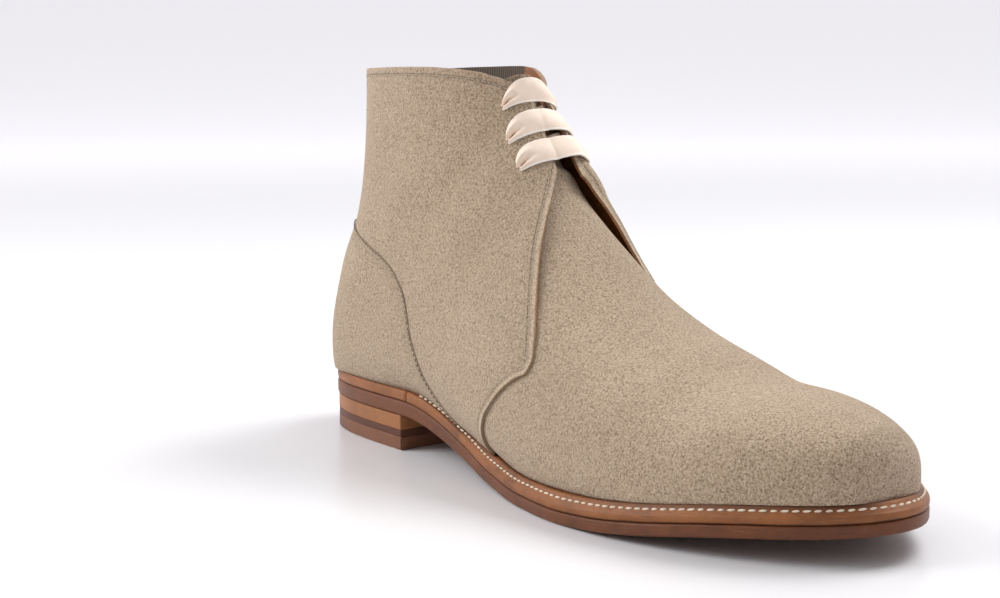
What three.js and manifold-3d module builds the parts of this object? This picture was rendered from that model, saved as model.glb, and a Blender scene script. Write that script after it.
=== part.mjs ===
import * as THREE from 'three';
import { mergeVertices } from 'three/addons/utils/BufferGeometryUtils.js';
import Module from 'manifold-3d';

const wasm = await Module();
wasm.setup();

// Chukka boot, right foot, in millimetres. While it is built, x runs from the back of the heel to
// the toe, y points to the wearer's left and z is up from the floor.

// Overall sizes
const soleLength = 302;
const ballWidth = 102.5;
const heelHeight = 14.1;
const toeSpring = 9.8;
const upperHeight = 125.3;

// Sole
const outsoleThickness = 5.9;
const outsoleForepart = 4.4;
const outsoleChamfer = 0.9;
const weltThickness = 4.0;
const weltForepart = 2.7;
const weltSlope = 2.7;
const weltWidth = 11.0;
const thinningStart = 85;
const thinningEnd = 165;
const weltChamfer = 0.6;
const edgeGroove = 0.4;
const insoleRise = 2.6;
const insoleRoom = 1.1;
const topPieceThickness = 5.3;
const middleLiftThickness = 2.5;
const heelInset = 1.0;
const heelBreast = 76.5;
const breastHollow = 2.5;
const seatRandLength = 81.0;

// Upper
const vampWall = 1.2;
const quarterRise = 1.3;
const liningDepth = 1.5;
const facingWall = 1.8;
const throatLiftNear = 1.8;
const throatLiftFar = 8.0;
const liftReach = 30.0;
const nearGap = 0.003;
const farGap = 0.030;
const counterDepth = 0.9;
const counterProud = 0.2;
const tongueWall = 1.2;
const tongueSink = 0.8;

// Lace and its holes
const eyeletRadius = 2.2;
const laceWidth = 9.4;
const laceThickness = 1.0;
const hiddenLaceWidth = 5.0;
const hiddenLaceThickness = 0.8;
const throughLaceWidth = 2.6;
const laceRoom = 0.9;
const hiddenRoom = 0.82;

// Clearance between pieces that meet
const fit = 0.3;

// Colours and roughness
const sandSuede = 0xb3a28a;
const shadedSuede = 0xa4927b;
const footBedTan = 0xa67c52;
const weltBrown = 0x7d4d2e;
const outsoleBrown = 0x7a4a2c;
const lightLift = 0xb07a4e;
const darkLift = 0x4a2c1c;
const topPieceBrown = 0x6b4129;
const paleRibbon = 0xd9c2ab;
const napped = 0.95;
const polished = 0.5;

// The last's sections fan from the toe to the collar. Each row joins a front or top point A to a
// back or bottom point B. x is a share of the sole's length and z a share of the upper's height
// above the seat. ridge, base, right and left are shares of the ball width. widest is the share of
// the way from A to B, and crown and root say how square the section is above and below it.
const sectionRows = [
  // A.x, A.z, B.x, B.z, ridge, base, right, left, widest, crown, root
  [0.9851, 0.068, 0.9851, 0.044, 0.044, 0.044, 0.000, 0.000, 0.50, 2.20, 2.20],
  [0.9795, 0.122, 0.9801, -0.043, 0.044, 0.044, 0.112, 0.105, 0.55, 2.10, 3.00],
  [0.9636, 0.164, 0.9652, -0.063, 0.044, 0.043, 0.191, 0.181, 0.55, 2.10, 3.00],
  [0.9371, 0.189, 0.9387, -0.075, 0.042, 0.042, 0.269, 0.248, 0.56, 2.10, 3.20],
  [0.8974, 0.220, 0.8990, -0.084, 0.039, 0.039, 0.347, 0.317, 0.58, 2.10, 3.40],
  [0.8444, 0.250, 0.8444, -0.085, 0.034, 0.034, 0.421, 0.384, 0.60, 2.10, 3.60],
  [0.7815, 0.280, 0.7815, -0.079, 0.029, 0.027, 0.470, 0.427, 0.64, 2.00, 3.60],
  [0.7152, 0.350, 0.7086, -0.070, 0.024, 0.020, 0.495, 0.437, 0.67, 1.95, 3.60],
  [0.6407, 0.422, 0.6358, -0.065, 0.024, 0.010, 0.496, 0.417, 0.70, 1.90, 3.50],
  [0.5790, 0.508, 0.5563, -0.064, 0.024, 0.000, 0.478, 0.371, 0.72, 1.85, 2.80],
  [0.5272, 0.595, 0.4702, -0.062, 0.024, -0.008, 0.442, 0.352, 0.72, 1.85, 2.20],
  [0.4829, 0.672, 0.3709, -0.074, 0.021, -0.010, 0.398, 0.319, 0.71, 1.90, 2.05],
  [0.4454, 0.736, 0.2583, -0.084, 0.018, -0.008, 0.358, 0.312, 0.68, 1.95, 2.15],
  [0.4205, 0.812, 0.1288, -0.092, 0.014, -0.004, 0.344, 0.310, 0.66, 2.00, 2.80],
  [0.4023, 0.876, 0.0250, -0.078, 0.010, 0.000, 0.333, 0.303, 0.62, 2.00, 3.00],
  [0.3907, 0.926, 0.0010, 0.075, 0.008, 0.000, 0.321, 0.289, 0.58, 2.05, 2.60],
  [0.3834, 0.966, 0.0030, 0.237, 0.006, 0.000, 0.297, 0.266, 0.54, 2.05, 2.30],
  [0.3791, 1.000, 0.0235, 0.397, 0.004, 0.000, 0.272, 0.238, 0.51, 2.05, 2.10],
  [0.3765, 1.034, 0.0430, 0.564, 0.002, 0.000, 0.262, 0.232, 0.50, 2.05, 2.10],
  [0.3748, 1.069, 0.0546, 0.748, 0.000, 0.000, 0.260, 0.232, 0.50, 2.05, 2.10],
  [0.3742, 1.101, 0.0610, 0.939, 0.000, 0.000, 0.264, 0.238, 0.50, 2.05, 2.10],
  [0.3742, 1.141, 0.0630, 1.091, 0.000, 0.000, 0.268, 0.242, 0.50, 2.05, 2.10],
];
const lastRow = sectionRows.length - 1;

// Plan of the sole: share of its length, then half widths right and left as shares of ball width
const soleOutline = [
  [0.0000, 0.000, 0.000],
  [0.0066, 0.112, 0.112],
  [0.0265, 0.210, 0.210],
  [0.0662, 0.288, 0.288],
  [0.1258, 0.327, 0.322],
  [0.1921, 0.337, 0.327],
  [0.2583, 0.337, 0.312],
  [0.3311, 0.337, 0.283],
  [0.4040, 0.361, 0.268],
  [0.4967, 0.424, 0.312],
  [0.5894, 0.488, 0.400],
  [0.6623, 0.513, 0.463],
  [0.7285, 0.502, 0.498],
  [0.7947, 0.463, 0.498],
  [0.8543, 0.403, 0.468],
  [0.9106, 0.315, 0.398],
  [0.9536, 0.214, 0.300],
  [0.9834, 0.104, 0.194],
  [0.9967, 0.026, 0.112],
  [1.0000, -0.040, 0.040],
];

// Underside of the sole: share of its length, share of the heel's height, share of the toe spring
const soleProfile = [
  [0.0000, 1.000, 0.000],
  [0.2583, 1.000, 0.000],
  [0.2980, 0.915, 0.000],
  [0.3477, 0.681, 0.000],
  [0.4040, 0.426, 0.000],
  [0.4967, 0.113, 0.000],
  [0.5894, 0.000, 0.000],
  [0.6623, 0.000, 0.000],
  [0.7119, 0.000, 0.065],
  [0.7781, 0.000, 0.265],
  [0.8278, 0.000, 0.480],
  [0.8609, 0.000, 0.620],
  [0.9040, 0.000, 0.760],
  [0.9404, 0.000, 0.840],
  [0.9735, 0.000, 0.910],
  [1.0000, 0.000, 1.000],
];

// Front edge of the quarters: share of the half girth from the ridge, section row
const quarterFront = [
  [0.000, 12.60],
  [0.053, 11.67],
  [0.113, 11.04],
  [0.170, 10.54],
  [0.259, 9.77],
  [0.333, 9.22],
  [0.378, 9.02],
  [0.400, 9.02],
  [0.430, 9.20],
  [0.488, 9.48],
  [0.545, 9.67],
  [0.588, 9.78],
  [0.640, 9.80],
  [1.000, 9.80],
];

// Hidden back edge of the vamp, in the same terms
const vampBack = [
  [0.000, 12.55],
  [0.200, 12.55],
  [0.260, 12.10],
  [0.330, 11.00],
  [0.390, 10.75],
  [0.450, 10.90],
  [0.550, 11.30],
  [1.000, 11.40],
];

// How far the facings stand off the instep: section row, shares of the near and far lift
const throatLift = [
  [9.00, 0.00, 0.00],
  [9.50, 0.25, 0.06],
  [9.90, 0.55, 0.28],
  [10.20, 0.75, 0.48],
  [10.60, 0.90, 0.65],
  [11.00, 1.00, 0.77],
  [11.50, 1.00, 0.86],
  [12.00, 1.00, 1.00],
  [13.00, 0.95, 0.74],
  [14.00, 0.80, 0.52],
  [15.00, 0.55, 0.30],
  [16.00, 0.35, 0.15],
  [18.00, 0.15, 0.06],
  [21.00, 0.00, 0.00],
];

// Lace holes from the collar down: section row at the hole and at the ridge, share of the girth
const eyelets = [
  [15.70, 16.30, 0.064],
  [13.95, 14.25, 0.066],
  [12.86, 13.00, 0.076],
];

// Collar seen from the side: share of the sole's length, share of the upper's height
const collarNear = [
  [-0.10, 0.990],
  [0.063, 0.990],
  [0.149, 0.997],
  [0.229, 1.000],
  [0.285, 0.999],
  [0.325, 0.993],
  [0.351, 0.984],
  [0.369, 0.968],
  [0.381, 0.948],
  [0.390, 0.925],
  [0.400, 0.905],
  [0.500, 0.905],
];
const collarFar = [
  [-0.10, 0.990],
  [0.063, 0.990],
  [0.149, 0.997],
  [0.229, 1.000],
  [0.295, 1.000],
  [0.325, 0.996],
  [0.347, 0.987],
  [0.362, 0.972],
  [0.374, 0.952],
  [0.386, 0.928],
  [0.398, 0.912],
  [0.500, 0.908],
];

// Seam of the heel counter seen from the side, in the same shares
const counterSeam = [
  [-0.06, 0.500],
  [0.060, 0.498],
  [0.112, 0.484],
  [0.165, 0.447],
  [0.230, 0.385],
  [0.248, 0.355],
  [0.269, 0.307],
  [0.285, 0.239],
  [0.294, 0.190],
  [0.309, 0.136],
  [0.325, 0.084],
  [0.343, 0.045],
  [0.372, -0.010],
  [0.390, -0.060],
  [0.390, -0.200],
  [-0.06, -0.200],
];

// Shares of the half girth where the sheets of the upper are divided
const ridgeColumns = [0.05, 0.075, 0.11, 0.15, 0.19];
const sideColumns = [0.215, 0.26, 0.305, 0.35, 0.38, 0.41, 0.46, 0.52, 0.58, 0.64, 0.70, 0.77, 0.85, 0.93];
const vampColumns = [0, 0.025, 0.05, 0.075, 0.11, 0.15, 0.19, ...sideColumns];
const tongueColumns = [0, 0.02, 0.045, 0.075, 0.11, 0.14, 0.165];
const facingEnd = ridgeColumns[ridgeColumns.length - 1];

// First and last section row of the tongue
const tongueRows = [12.15, 18.9];

const seatLevel = outsoleThickness + fit + weltThickness;
const clamp = THREE.MathUtils.clamp;
const lerp = THREE.MathUtils.lerp;
const smoothstep = THREE.MathUtils.smoothstep;

// A smooth curve through table values that never swings past them
function curveThrough(xs, ys) {
  const n = xs.length;
  const h = [];
  const slope = [];
  for (let k = 0; k < n - 1; k++) {
    h.push(xs[k + 1] - xs[k]);
    slope.push((ys[k + 1] - ys[k]) / h[k]);
  }
  const endSlope = (h0, h1, s0, s1) => {
    const m = ((2 * h0 + h1) * s0 - h0 * s1) / (h0 + h1);
    if (Math.sign(m) !== Math.sign(s0)) return 0;
    if (Math.sign(s0) !== Math.sign(s1) && Math.abs(m) > 3 * Math.abs(s0)) return 3 * s0;
    return m;
  };
  const tangent = new Array(n).fill(0);
  tangent[0] = endSlope(h[0], h[1], slope[0], slope[1]);
  tangent[n - 1] = endSlope(h[n - 2], h[n - 3], slope[n - 2], slope[n - 3]);
  for (let k = 1; k < n - 1; k++) {
    if (slope[k - 1] * slope[k] <= 0) continue;
    const a = 2 * h[k] + h[k - 1];
    const b = h[k] + 2 * h[k - 1];
    tangent[k] = (a + b) / (a / slope[k - 1] + b / slope[k]);
  }
  return (x) => {
    const at = clamp(x, xs[0], xs[n - 1]);
    let k = 0;
    while (k < n - 2 && at > xs[k + 1]) k++;
    const t = (at - xs[k]) / h[k];
    const t2 = t * t;
    const t3 = t2 * t;
    return (2 * t3 - 3 * t2 + 1) * ys[k] + (t3 - 2 * t2 + t) * h[k] * tangent[k]
      + (3 * t2 - 2 * t3) * ys[k + 1] + (t3 - t2) * h[k] * tangent[k + 1];
  };
}

const tableCurve = (rows, column, key = (v) => v) => curveThrough(
  rows.map((row) => key(row[0])),
  rows.map((row) => row[column]),
);

// Sole: underside height, and half widths read against an angle so that both ends are round
const heelCurve = tableCurve(soleProfile, 1);
const springCurve = tableCurve(soleProfile, 2);
const soleBottom = (x) => {
  const share = clamp(x / soleLength, 0, 1);
  return heelCurve(share) * heelHeight + springCurve(share) * toeSpring;
};

// The outsole and the rim of the welt grow thinner from the heel to the forepart
const thinned = (full, fore) => (x) => lerp(full, fore, smoothstep(x, thinningStart, thinningEnd));
const outsoleDepth = thinned(outsoleThickness, outsoleForepart);
const weltDepth = thinned(weltThickness, weltForepart);
const planAngle = (share) => Math.acos(1 - 2 * clamp(share, 0, 1));
const rightCurve = tableCurve(soleOutline, 1, planAngle);
const leftCurve = tableCurve(soleOutline, 2, planAngle);

const stationCount = 36;
const extraStations = [0.2583, 0.5894, 0.6623];
const stations = [];
for (let i = 0; i <= stationCount; i++) {
  const share = 0.5 - 0.5 * Math.cos((Math.PI * i) / stationCount);
  if (extraStations.every((extra) => Math.abs(extra - share) > 0.008)) stations.push(share);
}
stations.push(...extraStations);
stations.sort((a, b) => a - b);

// The sole's edge as one closed line: right side heel to toe, then left side toe to heel
const edgeLine = [];
for (const share of stations) {
  edgeLine.push([share * soleLength, -rightCurve(planAngle(share)) * ballWidth]);
}
for (const share of stations.slice(1, -1).reverse()) {
  edgeLine.push([share * soleLength, leftCurve(planAngle(share)) * ballWidth]);
}
const edgeCount = edgeLine.length;

function edgePoint(index, inset) {
  const whole = Math.floor(index);
  if (index > whole) {
    const a = edgePoint(whole, inset);
    const b = edgePoint(whole + 1, inset);
    return [lerp(a[0], b[0], index - whole), lerp(a[1], b[1], index - whole)];
  }
  const at = (i) => edgeLine[(i + 2 * edgeCount) % edgeCount];
  const [x, y] = at(index);
  const before = at(index - 1);
  const after = at(index + 1);
  const tx = after[0] - before[0];
  const ty = after[1] - before[1];
  const length = Math.hypot(tx, ty);
  return [x - (ty / length) * inset, y + (tx / length) * inset];
}
function stationOf(x) {
  let k = 0;
  while (edgeLine[k + 1][0] < x) k++;
  return k + (x - edgeLine[k][0]) / (edgeLine[k + 1][0] - edgeLine[k][0]);
}
const rightPoint = (station, inset) => edgePoint(station, inset);
const leftPoint = (station, inset) => edgePoint(edgeCount - station, inset);

// Form of the last
const rowIndex = sectionRows.map((row, index) => index);
const rowCurves = sectionRows[0].map((value, column) => curveThrough(
  rowIndex,
  sectionRows.map((row) => row[column]),
));
const sectionSteps = 90;

function sectionAt(row, side) {
  const [ax, az, bx, bz, ridge, base, right, left, widest, crown, root] = rowCurves.map((f) => f(row));
  const a = [ax * soleLength, ridge * ballWidth, 0];
  const b = [bx * soleLength, base * ballWidth, 0];
  a[2] = soleBottom(a[0]) + seatLevel + az * upperHeight;
  b[2] = soleBottom(b[0]) + seatLevel + bz * upperHeight;
  const half = (side < 0 ? right : left) * ballWidth;
  const points = [];
  const lengths = [];
  for (let i = 0; i <= sectionSteps; i++) {
    const angle = (Math.PI * i) / sectionSteps;
    const c = Math.abs(Math.cos(angle));
    const s = Math.abs(Math.sin(angle));
    const upper = angle <= Math.PI / 2;
    const power = 2 / (upper ? crown : root);
    const along = upper ? widest * (1 - c ** power) : widest + (1 - widest) * c ** power;
    const across = side * half * s ** power;
    const p = [
      lerp(a[0], b[0], along),
      lerp(a[1], b[1], along) + across,
      lerp(a[2], b[2], along),
    ];
    const last = points[points.length - 1];
    const step = last ? Math.hypot(p[0] - last[0], p[1] - last[1], p[2] - last[2]) : 0;
    lengths.push(last ? lengths[lengths.length - 1] + step : 0);
    points.push(p);
  }
  return { points, lengths, girth: lengths[sectionSteps] };
}

const sectionCache = new Map();
function section(row, side) {
  const key = `${side < 0 ? 'r' : 'l'}${row.toFixed(5)}`;
  if (!sectionCache.has(key)) sectionCache.set(key, sectionAt(row, side));
  return sectionCache.get(key);
}

// Point of the bare last at a section row and a share of the half girth, negative to the right
function lastPoint(row, share) {
  let s = share;
  if (s > 1) s -= 2;
  if (s < -1) s += 2;
  const { points, lengths, girth } = section(clamp(row, 0, lastRow), s < 0 ? -1 : 1);
  const target = Math.abs(s) * girth;
  let k = 0;
  while (k < sectionSteps - 1 && lengths[k + 1] < target) k++;
  const t = (target - lengths[k]) / Math.max(lengths[k + 1] - lengths[k], 1e-9);
  return new THREE.Vector3().lerpVectors(
    new THREE.Vector3(...points[k]),
    new THREE.Vector3(...points[k + 1]),
    clamp(t, 0, 1),
  );
}

// Directions at a point: along the rows, round the girth and out of the leather
function directions(row, share) {
  const step = 0.03;
  const up = lastPoint(row + step * 4, share).sub(lastPoint(row - step * 4, share)).normalize();
  const round = lastPoint(row, share + step).sub(lastPoint(row, share - step)).normalize();
  const out = new THREE.Vector3().crossVectors(round, up).normalize();
  return { up, round, out };
}
const normalCache = new Map();
function outward(row, share) {
  if (row < 0.02) return new THREE.Vector3(1, 0, 0);
  const key = `${row.toFixed(5)},${share.toFixed(5)}`;
  if (!normalCache.has(key)) normalCache.set(key, directions(row, share).out);
  return normalCache.get(key);
}
const skin = (row, share, offset) => lastPoint(row, share).addScaledVector(outward(row, share), offset);

// Closed solids
function weld(points, triangles) {
  const keys = new Map();
  const index = points.map((p) => {
    const key = [p.x, p.y, p.z].map((v) => Math.round(v * 2e4)).join();
    if (!keys.has(key)) keys.set(key, keys.size);
    return keys.get(key);
  });
  const positions = new Float32Array(keys.size * 3);
  points.forEach((p, i) => positions.set([p.x, p.y, p.z], index[i] * 3));
  const kept = triangles
    .map((triangle) => triangle.map((v) => index[v]))
    .filter(([a, b, c]) => a !== b && b !== c && c !== a);
  let volume = 0;
  const corner = (v) => new THREE.Vector3().fromArray(positions, v * 3);
  for (const [a, b, c] of kept) volume += corner(a).dot(corner(b).cross(corner(c)));
  const faces = kept.map(([a, b, c]) => (volume < 0 ? [a, c, b] : [a, b, c]));
  return new wasm.Manifold(new wasm.Mesh({
    numProp: 3,
    vertProperties: positions,
    triVerts: Uint32Array.from(faces.flat()),
  }));
}

// A sheet with thickness between two grids of points, with a rim round its open edges
function sheet(outer, inner, closed = false) {
  const rows = outer.length;
  const columns = outer[0].length;
  const points = [...outer.flat(), ...inner.flat()];
  const low = rows * columns;
  const triangles = [];
  const quad = (a, b, c, d) => triangles.push([a, b, c], [a, c, d]);
  const at = (i, j) => i * columns + (j % columns);
  const spans = closed ? columns : columns - 1;
  for (let i = 0; i < rows - 1; i++) {
    for (let j = 0; j < spans; j++) {
      const [a, b, c, d] = [at(i, j), at(i, j + 1), at(i + 1, j + 1), at(i + 1, j)];
      quad(a, b, c, d);
      quad(low + d, low + c, low + b, low + a);
    }
  }
  for (let j = 0; j < spans; j++) {
    quad(at(0, j + 1), at(0, j), low + at(0, j), low + at(0, j + 1));
    quad(at(rows - 1, j), at(rows - 1, j + 1), low + at(rows - 1, j + 1), low + at(rows - 1, j));
  }
  if (!closed) {
    for (let i = 0; i < rows - 1; i++) {
      quad(at(i, 0), at(i + 1, 0), low + at(i + 1, 0), low + at(i, 0));
      const j = columns - 1;
      quad(at(i + 1, j), at(i, j), low + at(i, j), low + at(i + 1, j));
    }
  }
  return weld(points, triangles);
}

// A bar through a line of closed rings, with flat ends
function bar(rings) {
  const count = rings[0].length;
  const triangles = [];
  for (let i = 0; i < rings.length - 1; i++) {
    for (let j = 0; j < count; j++) {
      const a = i * count + j;
      const b = i * count + ((j + 1) % count);
      triangles.push([a, b, b + count], [a, b + count, a + count]);
    }
  }
  const end = (rings.length - 1) * count;
  for (let j = 1; j < count - 1; j++) {
    triangles.push([0, j + 1, j], [end, end + j, end + j + 1]);
  }
  return weld(rings.flat(), triangles);
}

// A prism across the shoe with a side-view outline
function sidePrism(outline, low = -200, high = 200) {
  const shape = new THREE.Shape(outline.map(([x, z]) => new THREE.Vector2(x, z)));
  const geometry = new THREE.ExtrudeGeometry(shape, { depth: high - low, bevelEnabled: false });
  geometry.rotateX(Math.PI / 2);
  geometry.translate(0, high, 0);
  return solidOf(geometry);
}

function solidOf(geometry) {
  const bare = geometry.clone();
  bare.deleteAttribute('normal');
  bare.deleteAttribute('uv');
  const merged = mergeVertices(bare, 1e-4);
  return new wasm.Manifold(new wasm.Mesh({
    numProp: 3,
    vertProperties: Float32Array.from(merged.attributes.position.array),
    triVerts: Uint32Array.from(merged.index.array),
  }));
}

const group = new THREE.Group();
function addPiece(name, solid, color, roughness) {
  const mesh = solid.getMesh();
  const geometry = new THREE.BufferGeometry();
  geometry.setAttribute('position', new THREE.BufferAttribute(mesh.vertProperties, 3));
  geometry.setIndex(new THREE.BufferAttribute(mesh.triVerts, 1));
  geometry.computeVertexNormals();
  const piece = new THREE.Mesh(geometry, new THREE.MeshStandardMaterial({ color, roughness, metalness: 0 }));
  piece.name = name;
  group.add(piece);
}

// Heights above the floor that follow the sole's underside
const stationXs = stations.map((share) => share * soleLength);
const reach = 30;
function layer(bottom, top) {
  const xs = [-reach, ...stationXs, soleLength + reach];
  const under = xs.map((x) => [x, soleBottom(x) + bottom]);
  const over = xs.map((x) => [x, soleBottom(x) + top]).reverse();
  return sidePrism([...under, ...over]);
}
const sideHeight = (share) => heelHeight + seatLevel + share * upperHeight;
const sideOutline = (table) => table.map(([x, z]) => [x * soleLength, sideHeight(z)]);

// Upper: vamp sheet under quarter sheet, the quarters a step higher and lifted at the throat
const frontRow = tableCurve(quarterFront, 1);
const vampEndRow = tableCurve(vampBack, 1);
const nearLift = tableCurve(throatLift, 1);
const farLift = tableCurve(throatLift, 2);
const frontByRow = quarterFront.filter(([share]) => share < 0.39).reverse();
const frontShareFrom = (gap) => curveThrough(
  [...frontByRow.map(([, row]) => row), lastRow],
  [...frontByRow.map(([share]) => Math.max(share, gap)), gap],
);
const nearFront = frontShareFrom(nearGap);
const farFront = frontShareFrom(farGap);

function quarterOffset(row, share) {
  const near = share < 0;
  const lift = near ? nearLift(row) * throatLiftNear : farLift(row) * throatLiftFar;
  const girth = section(clamp(row, 0, lastRow), near ? -1 : 1).girth;
  const behind = Math.max(Math.abs(share) - (near ? nearFront(row) : farFront(row)), 0) * girth;
  return quarterRise + lift * (1 - smoothstep(behind, 0, liftReach));
}
function quarterInside(row, share) {
  if (Math.abs(share) <= facingEnd) return quarterOffset(row, share) - facingWall;
  return row < frontRow(Math.abs(share)) + 0.85 ? -vampWall * 0.7 : -liningDepth;
}

const frontSteps = [0, 0.35, 0.8, 1.1];
const upSteps = [0.11, 0.21, 0.26, 0.30, 0.34, 0.38, 0.43, 0.50, 0.58, 0.68, 0.79, 0.90, 1];
const quarterShares = [
  ...[nearGap, ...ridgeColumns, ...sideColumns].map((share) => -share),
  1,
  ...[farGap, ...ridgeColumns, ...sideColumns].reverse(),
];
function quarterGrid(offset) {
  const point = (row, share) => skin(row, share, offset(row, share));
  const first = (share) => frontRow(Math.abs(share));
  const joint = frontSteps[frontSteps.length - 1];
  return [
    ...frontSteps.map((step) => quarterShares.map((share) => point(first(share) + step, share))),
    ...upSteps.map((step) => quarterShares.map(
      (share) => point(lerp(first(share) + joint, lastRow, step), share),
    )),
  ];
}
const vampSteps = 15;
const vampShares = [...vampColumns, 1, ...vampColumns.slice(1).reverse().map((share) => -share)];
const vampGrid = (offset) => {
  const grid = [];
  for (let i = 0; i <= vampSteps; i++) {
    const t = i / vampSteps;
    grid.push(vampShares.map((share) => {
      const row = vampEndRow(Math.abs(share)) * (t < 0.18 ? t * 0.8 : lerp(0.144, 1, (t - 0.18) / 0.82));
      return skin(row, share, offset);
    }));
  }
  return grid;
};
const quarters = sheet(quarterGrid(quarterOffset), quarterGrid(quarterInside));
const vamp = sheet(vampGrid(0), vampGrid(-vampWall), true);

const trimRoom = 60;
const aboveCollar = (table, low, high) => {
  const line = sideOutline(table);
  const top = line[4][1] + trimRoom;
  return sidePrism([...line, [line[line.length - 1][0], top], [line[0][0], top]], low, high);
};
const trimTop = aboveCollar(collarNear, -200, 0).add(aboveCollar(collarFar, 0, 200));
const trimUnder = layer(-trimRoom, seatLevel + fit);

const seamRoom = 0.36;
const recessReach = 6;
const seam = sideOutline(counterSeam);
const behindSeam = sidePrism(seam);
const grownSeam = seam.map(([x, z], index) => {
  const before = seam[Math.max(index - 1, 0)];
  const after = seam[Math.min(index + 1, seam.length - 1)];
  const length = Math.hypot(after[0] - before[0], after[1] - before[1]);
  const [dx, dz] = [after[0] - before[0], after[1] - before[1]];
  return [x - (dz / length) * seamRoom, z + (dx / length) * seamRoom];
});
const recessBottom = quarterRise - counterDepth - fit;
const recess = sheet(quarterGrid(() => quarterRise + recessReach), quarterGrid(() => recessBottom))
  .intersect(sidePrism(grownSeam));
const counter = sheet(quarterGrid(() => quarterRise + counterProud), quarterGrid(() => recessBottom + fit))
  .intersect(behindSeam)
  .subtract(trimUnder);

// Face of the facings, also across the gap between them, with its own directions
function facing(row, share) {
  if (share <= -nearGap || share >= farGap) return quarterOffset(row, share);
  const t = (share + nearGap) / (nearGap + farGap);
  return lerp(quarterOffset(row, -nearGap), quarterOffset(row, farGap), t);
}
const facingPoint = (row, share) => skin(row, share, facing(row, share));
function facingFrame(row, share) {
  const step = 0.008;
  const up = facingPoint(row + step * 20, share).sub(facingPoint(row - step * 20, share)).normalize();
  const round = facingPoint(row, share + step).sub(facingPoint(row, share - step)).normalize();
  const out = new THREE.Vector3().crossVectors(round, up).normalize();
  return { point: facingPoint(row, share), up, round, out };
}

// Lace holes square to the facings
const holes = [];
for (const [row, , share] of eyelets) {
  for (const side of [-1, 1]) {
    const drill = new THREE.CylinderGeometry(eyeletRadius, eyeletRadius, facingWall * 4, 12);
    const { point, out } = facingFrame(row, side * share);
    drill.applyQuaternion(new THREE.Quaternion().setFromUnitVectors(new THREE.Vector3(0, 1, 0), out));
    const centre = point.addScaledVector(out, -facingWall / 2);
    drill.translate(centre.x, centre.y, centre.z);
    holes.push(solidOf(drill));
  }
}
let facedQuarters = quarters;
for (const hole of holes) facedQuarters = facedQuarters.subtract(hole);
const upper = facedQuarters
  .add(vamp)
  .subtract(recess)
  .subtract(trimTop)
  .subtract(trimUnder);

// Tongue: starts under the vamp's top edge and runs up behind the facings
const tongueOutside = -vampWall - tongueSink;
const tongueShares = [...tongueColumns.slice(1).reverse().map((share) => -share), ...tongueColumns];
const tongueSteps = 9;
const tongueGrid = (offset) => {
  const grid = [];
  for (let i = 0; i <= tongueSteps; i++) {
    const row = lerp(...tongueRows, i / tongueSteps);
    grid.push(tongueShares.map((share) => {
      const taper = row > tongueRows[1] - 1 ? 0.86 : 1;
      return skin(row, share * taper, offset);
    }));
  }
  return grid;
};
const tongueTop = sidePrism([
  [0.2, 0.935], [0.36, 0.93], [0.42, 0.90], [0.5, 0.90], [0.5, 1.4], [0.2, 1.4],
].map(([x, z]) => [x * soleLength, sideHeight(z)]));
const tongue = sheet(tongueGrid(tongueOutside), tongueGrid(tongueOutside - tongueWall)).subtract(tongueTop);

// Slabs of the sole, from one station to another, with both edges chamfered and an optional hollow end
const slabWays = [1, 0.5, 0, -0.5, -1];
function slab(stops, bottom, top, chamfer, inset = 0, hollow = 0) {
  const upperGrid = [];
  const lowerGrid = [];
  const lift = (x, y, height) => new THREE.Vector3(x, y, height(x));
  stops.forEach((stop, order) => {
    const right = rightPoint(stop, inset);
    const left = leftPoint(stop, inset);
    const tip = Math.hypot(right[0] - left[0], right[1] - left[1]) < 0.01;
    const rightIn = tip ? right : rightPoint(stop, inset + chamfer);
    const leftIn = tip ? left : leftPoint(stop, inset + chamfer);
    const overIn = tip ? (x) => top(x) - chamfer : top;
    const underIn = tip ? (x) => bottom(x) + chamfer : bottom;
    const depth = order === stops.length - 1 ? hollow : 0;
    const across = slabWays.map((way) => [
      lerp(leftIn[0], rightIn[0], (way + 1) / 2) - depth * (1 - way * way),
      lerp(leftIn[1], rightIn[1], (way + 1) / 2),
    ]);
    upperGrid.push([
      lift(...right, (x) => top(x) - chamfer),
      ...across.map(([x, y]) => lift(x, y, overIn)),
      lift(...left, (x) => top(x) - chamfer),
    ]);
    lowerGrid.push([
      lift(...right, (x) => bottom(x) + chamfer),
      ...across.map(([x, y]) => lift(x, y, underIn)),
      lift(...left, (x) => bottom(x) + chamfer),
    ]);
  });
  return sheet(upperGrid, lowerGrid);
}
const lastStation = stations.length - 1;
const allStations = stations.map((share, index) => index);
const outsoleTop = (x) => soleBottom(x) + outsoleDepth(x);
const outsole = slab(allStations, soleBottom, outsoleTop, outsoleChamfer);

// A band of leather along the sole's edge, between two places on it, sloping down to a thinner rim
function band(from, to) {
  const stops = [from];
  for (let i = Math.floor(from) + 1; i < to; i++) stops.push(i);
  stops.push(to);
  return bar(stops.map((stop) => {
    const place = (inset, height) => {
      const [x, y] = edgePoint(stop, inset);
      return new THREE.Vector3(x, y, height(x));
    };
    const low = (x) => outsoleTop(x) + fit;
    const rim = (x) => low(x) + weltDepth(x);
    const seat = (x) => soleBottom(x) + seatLevel;
    return [
      place(edgeGroove, low),
      place(0, (x) => low(x) + weltChamfer),
      place(0, (x) => rim(x) - weltChamfer),
      place(weltChamfer, rim),
      place(weltSlope, seat),
      place(weltWidth, seat),
      place(weltWidth, low),
    ];
  }));
}
const weltStart = stationOf(seatRandLength + fit);
const randEnd = stationOf(seatRandLength);
const welt = band(weltStart, edgeCount - weltStart);
const seatRand = band(-randEnd, randEnd);

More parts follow.
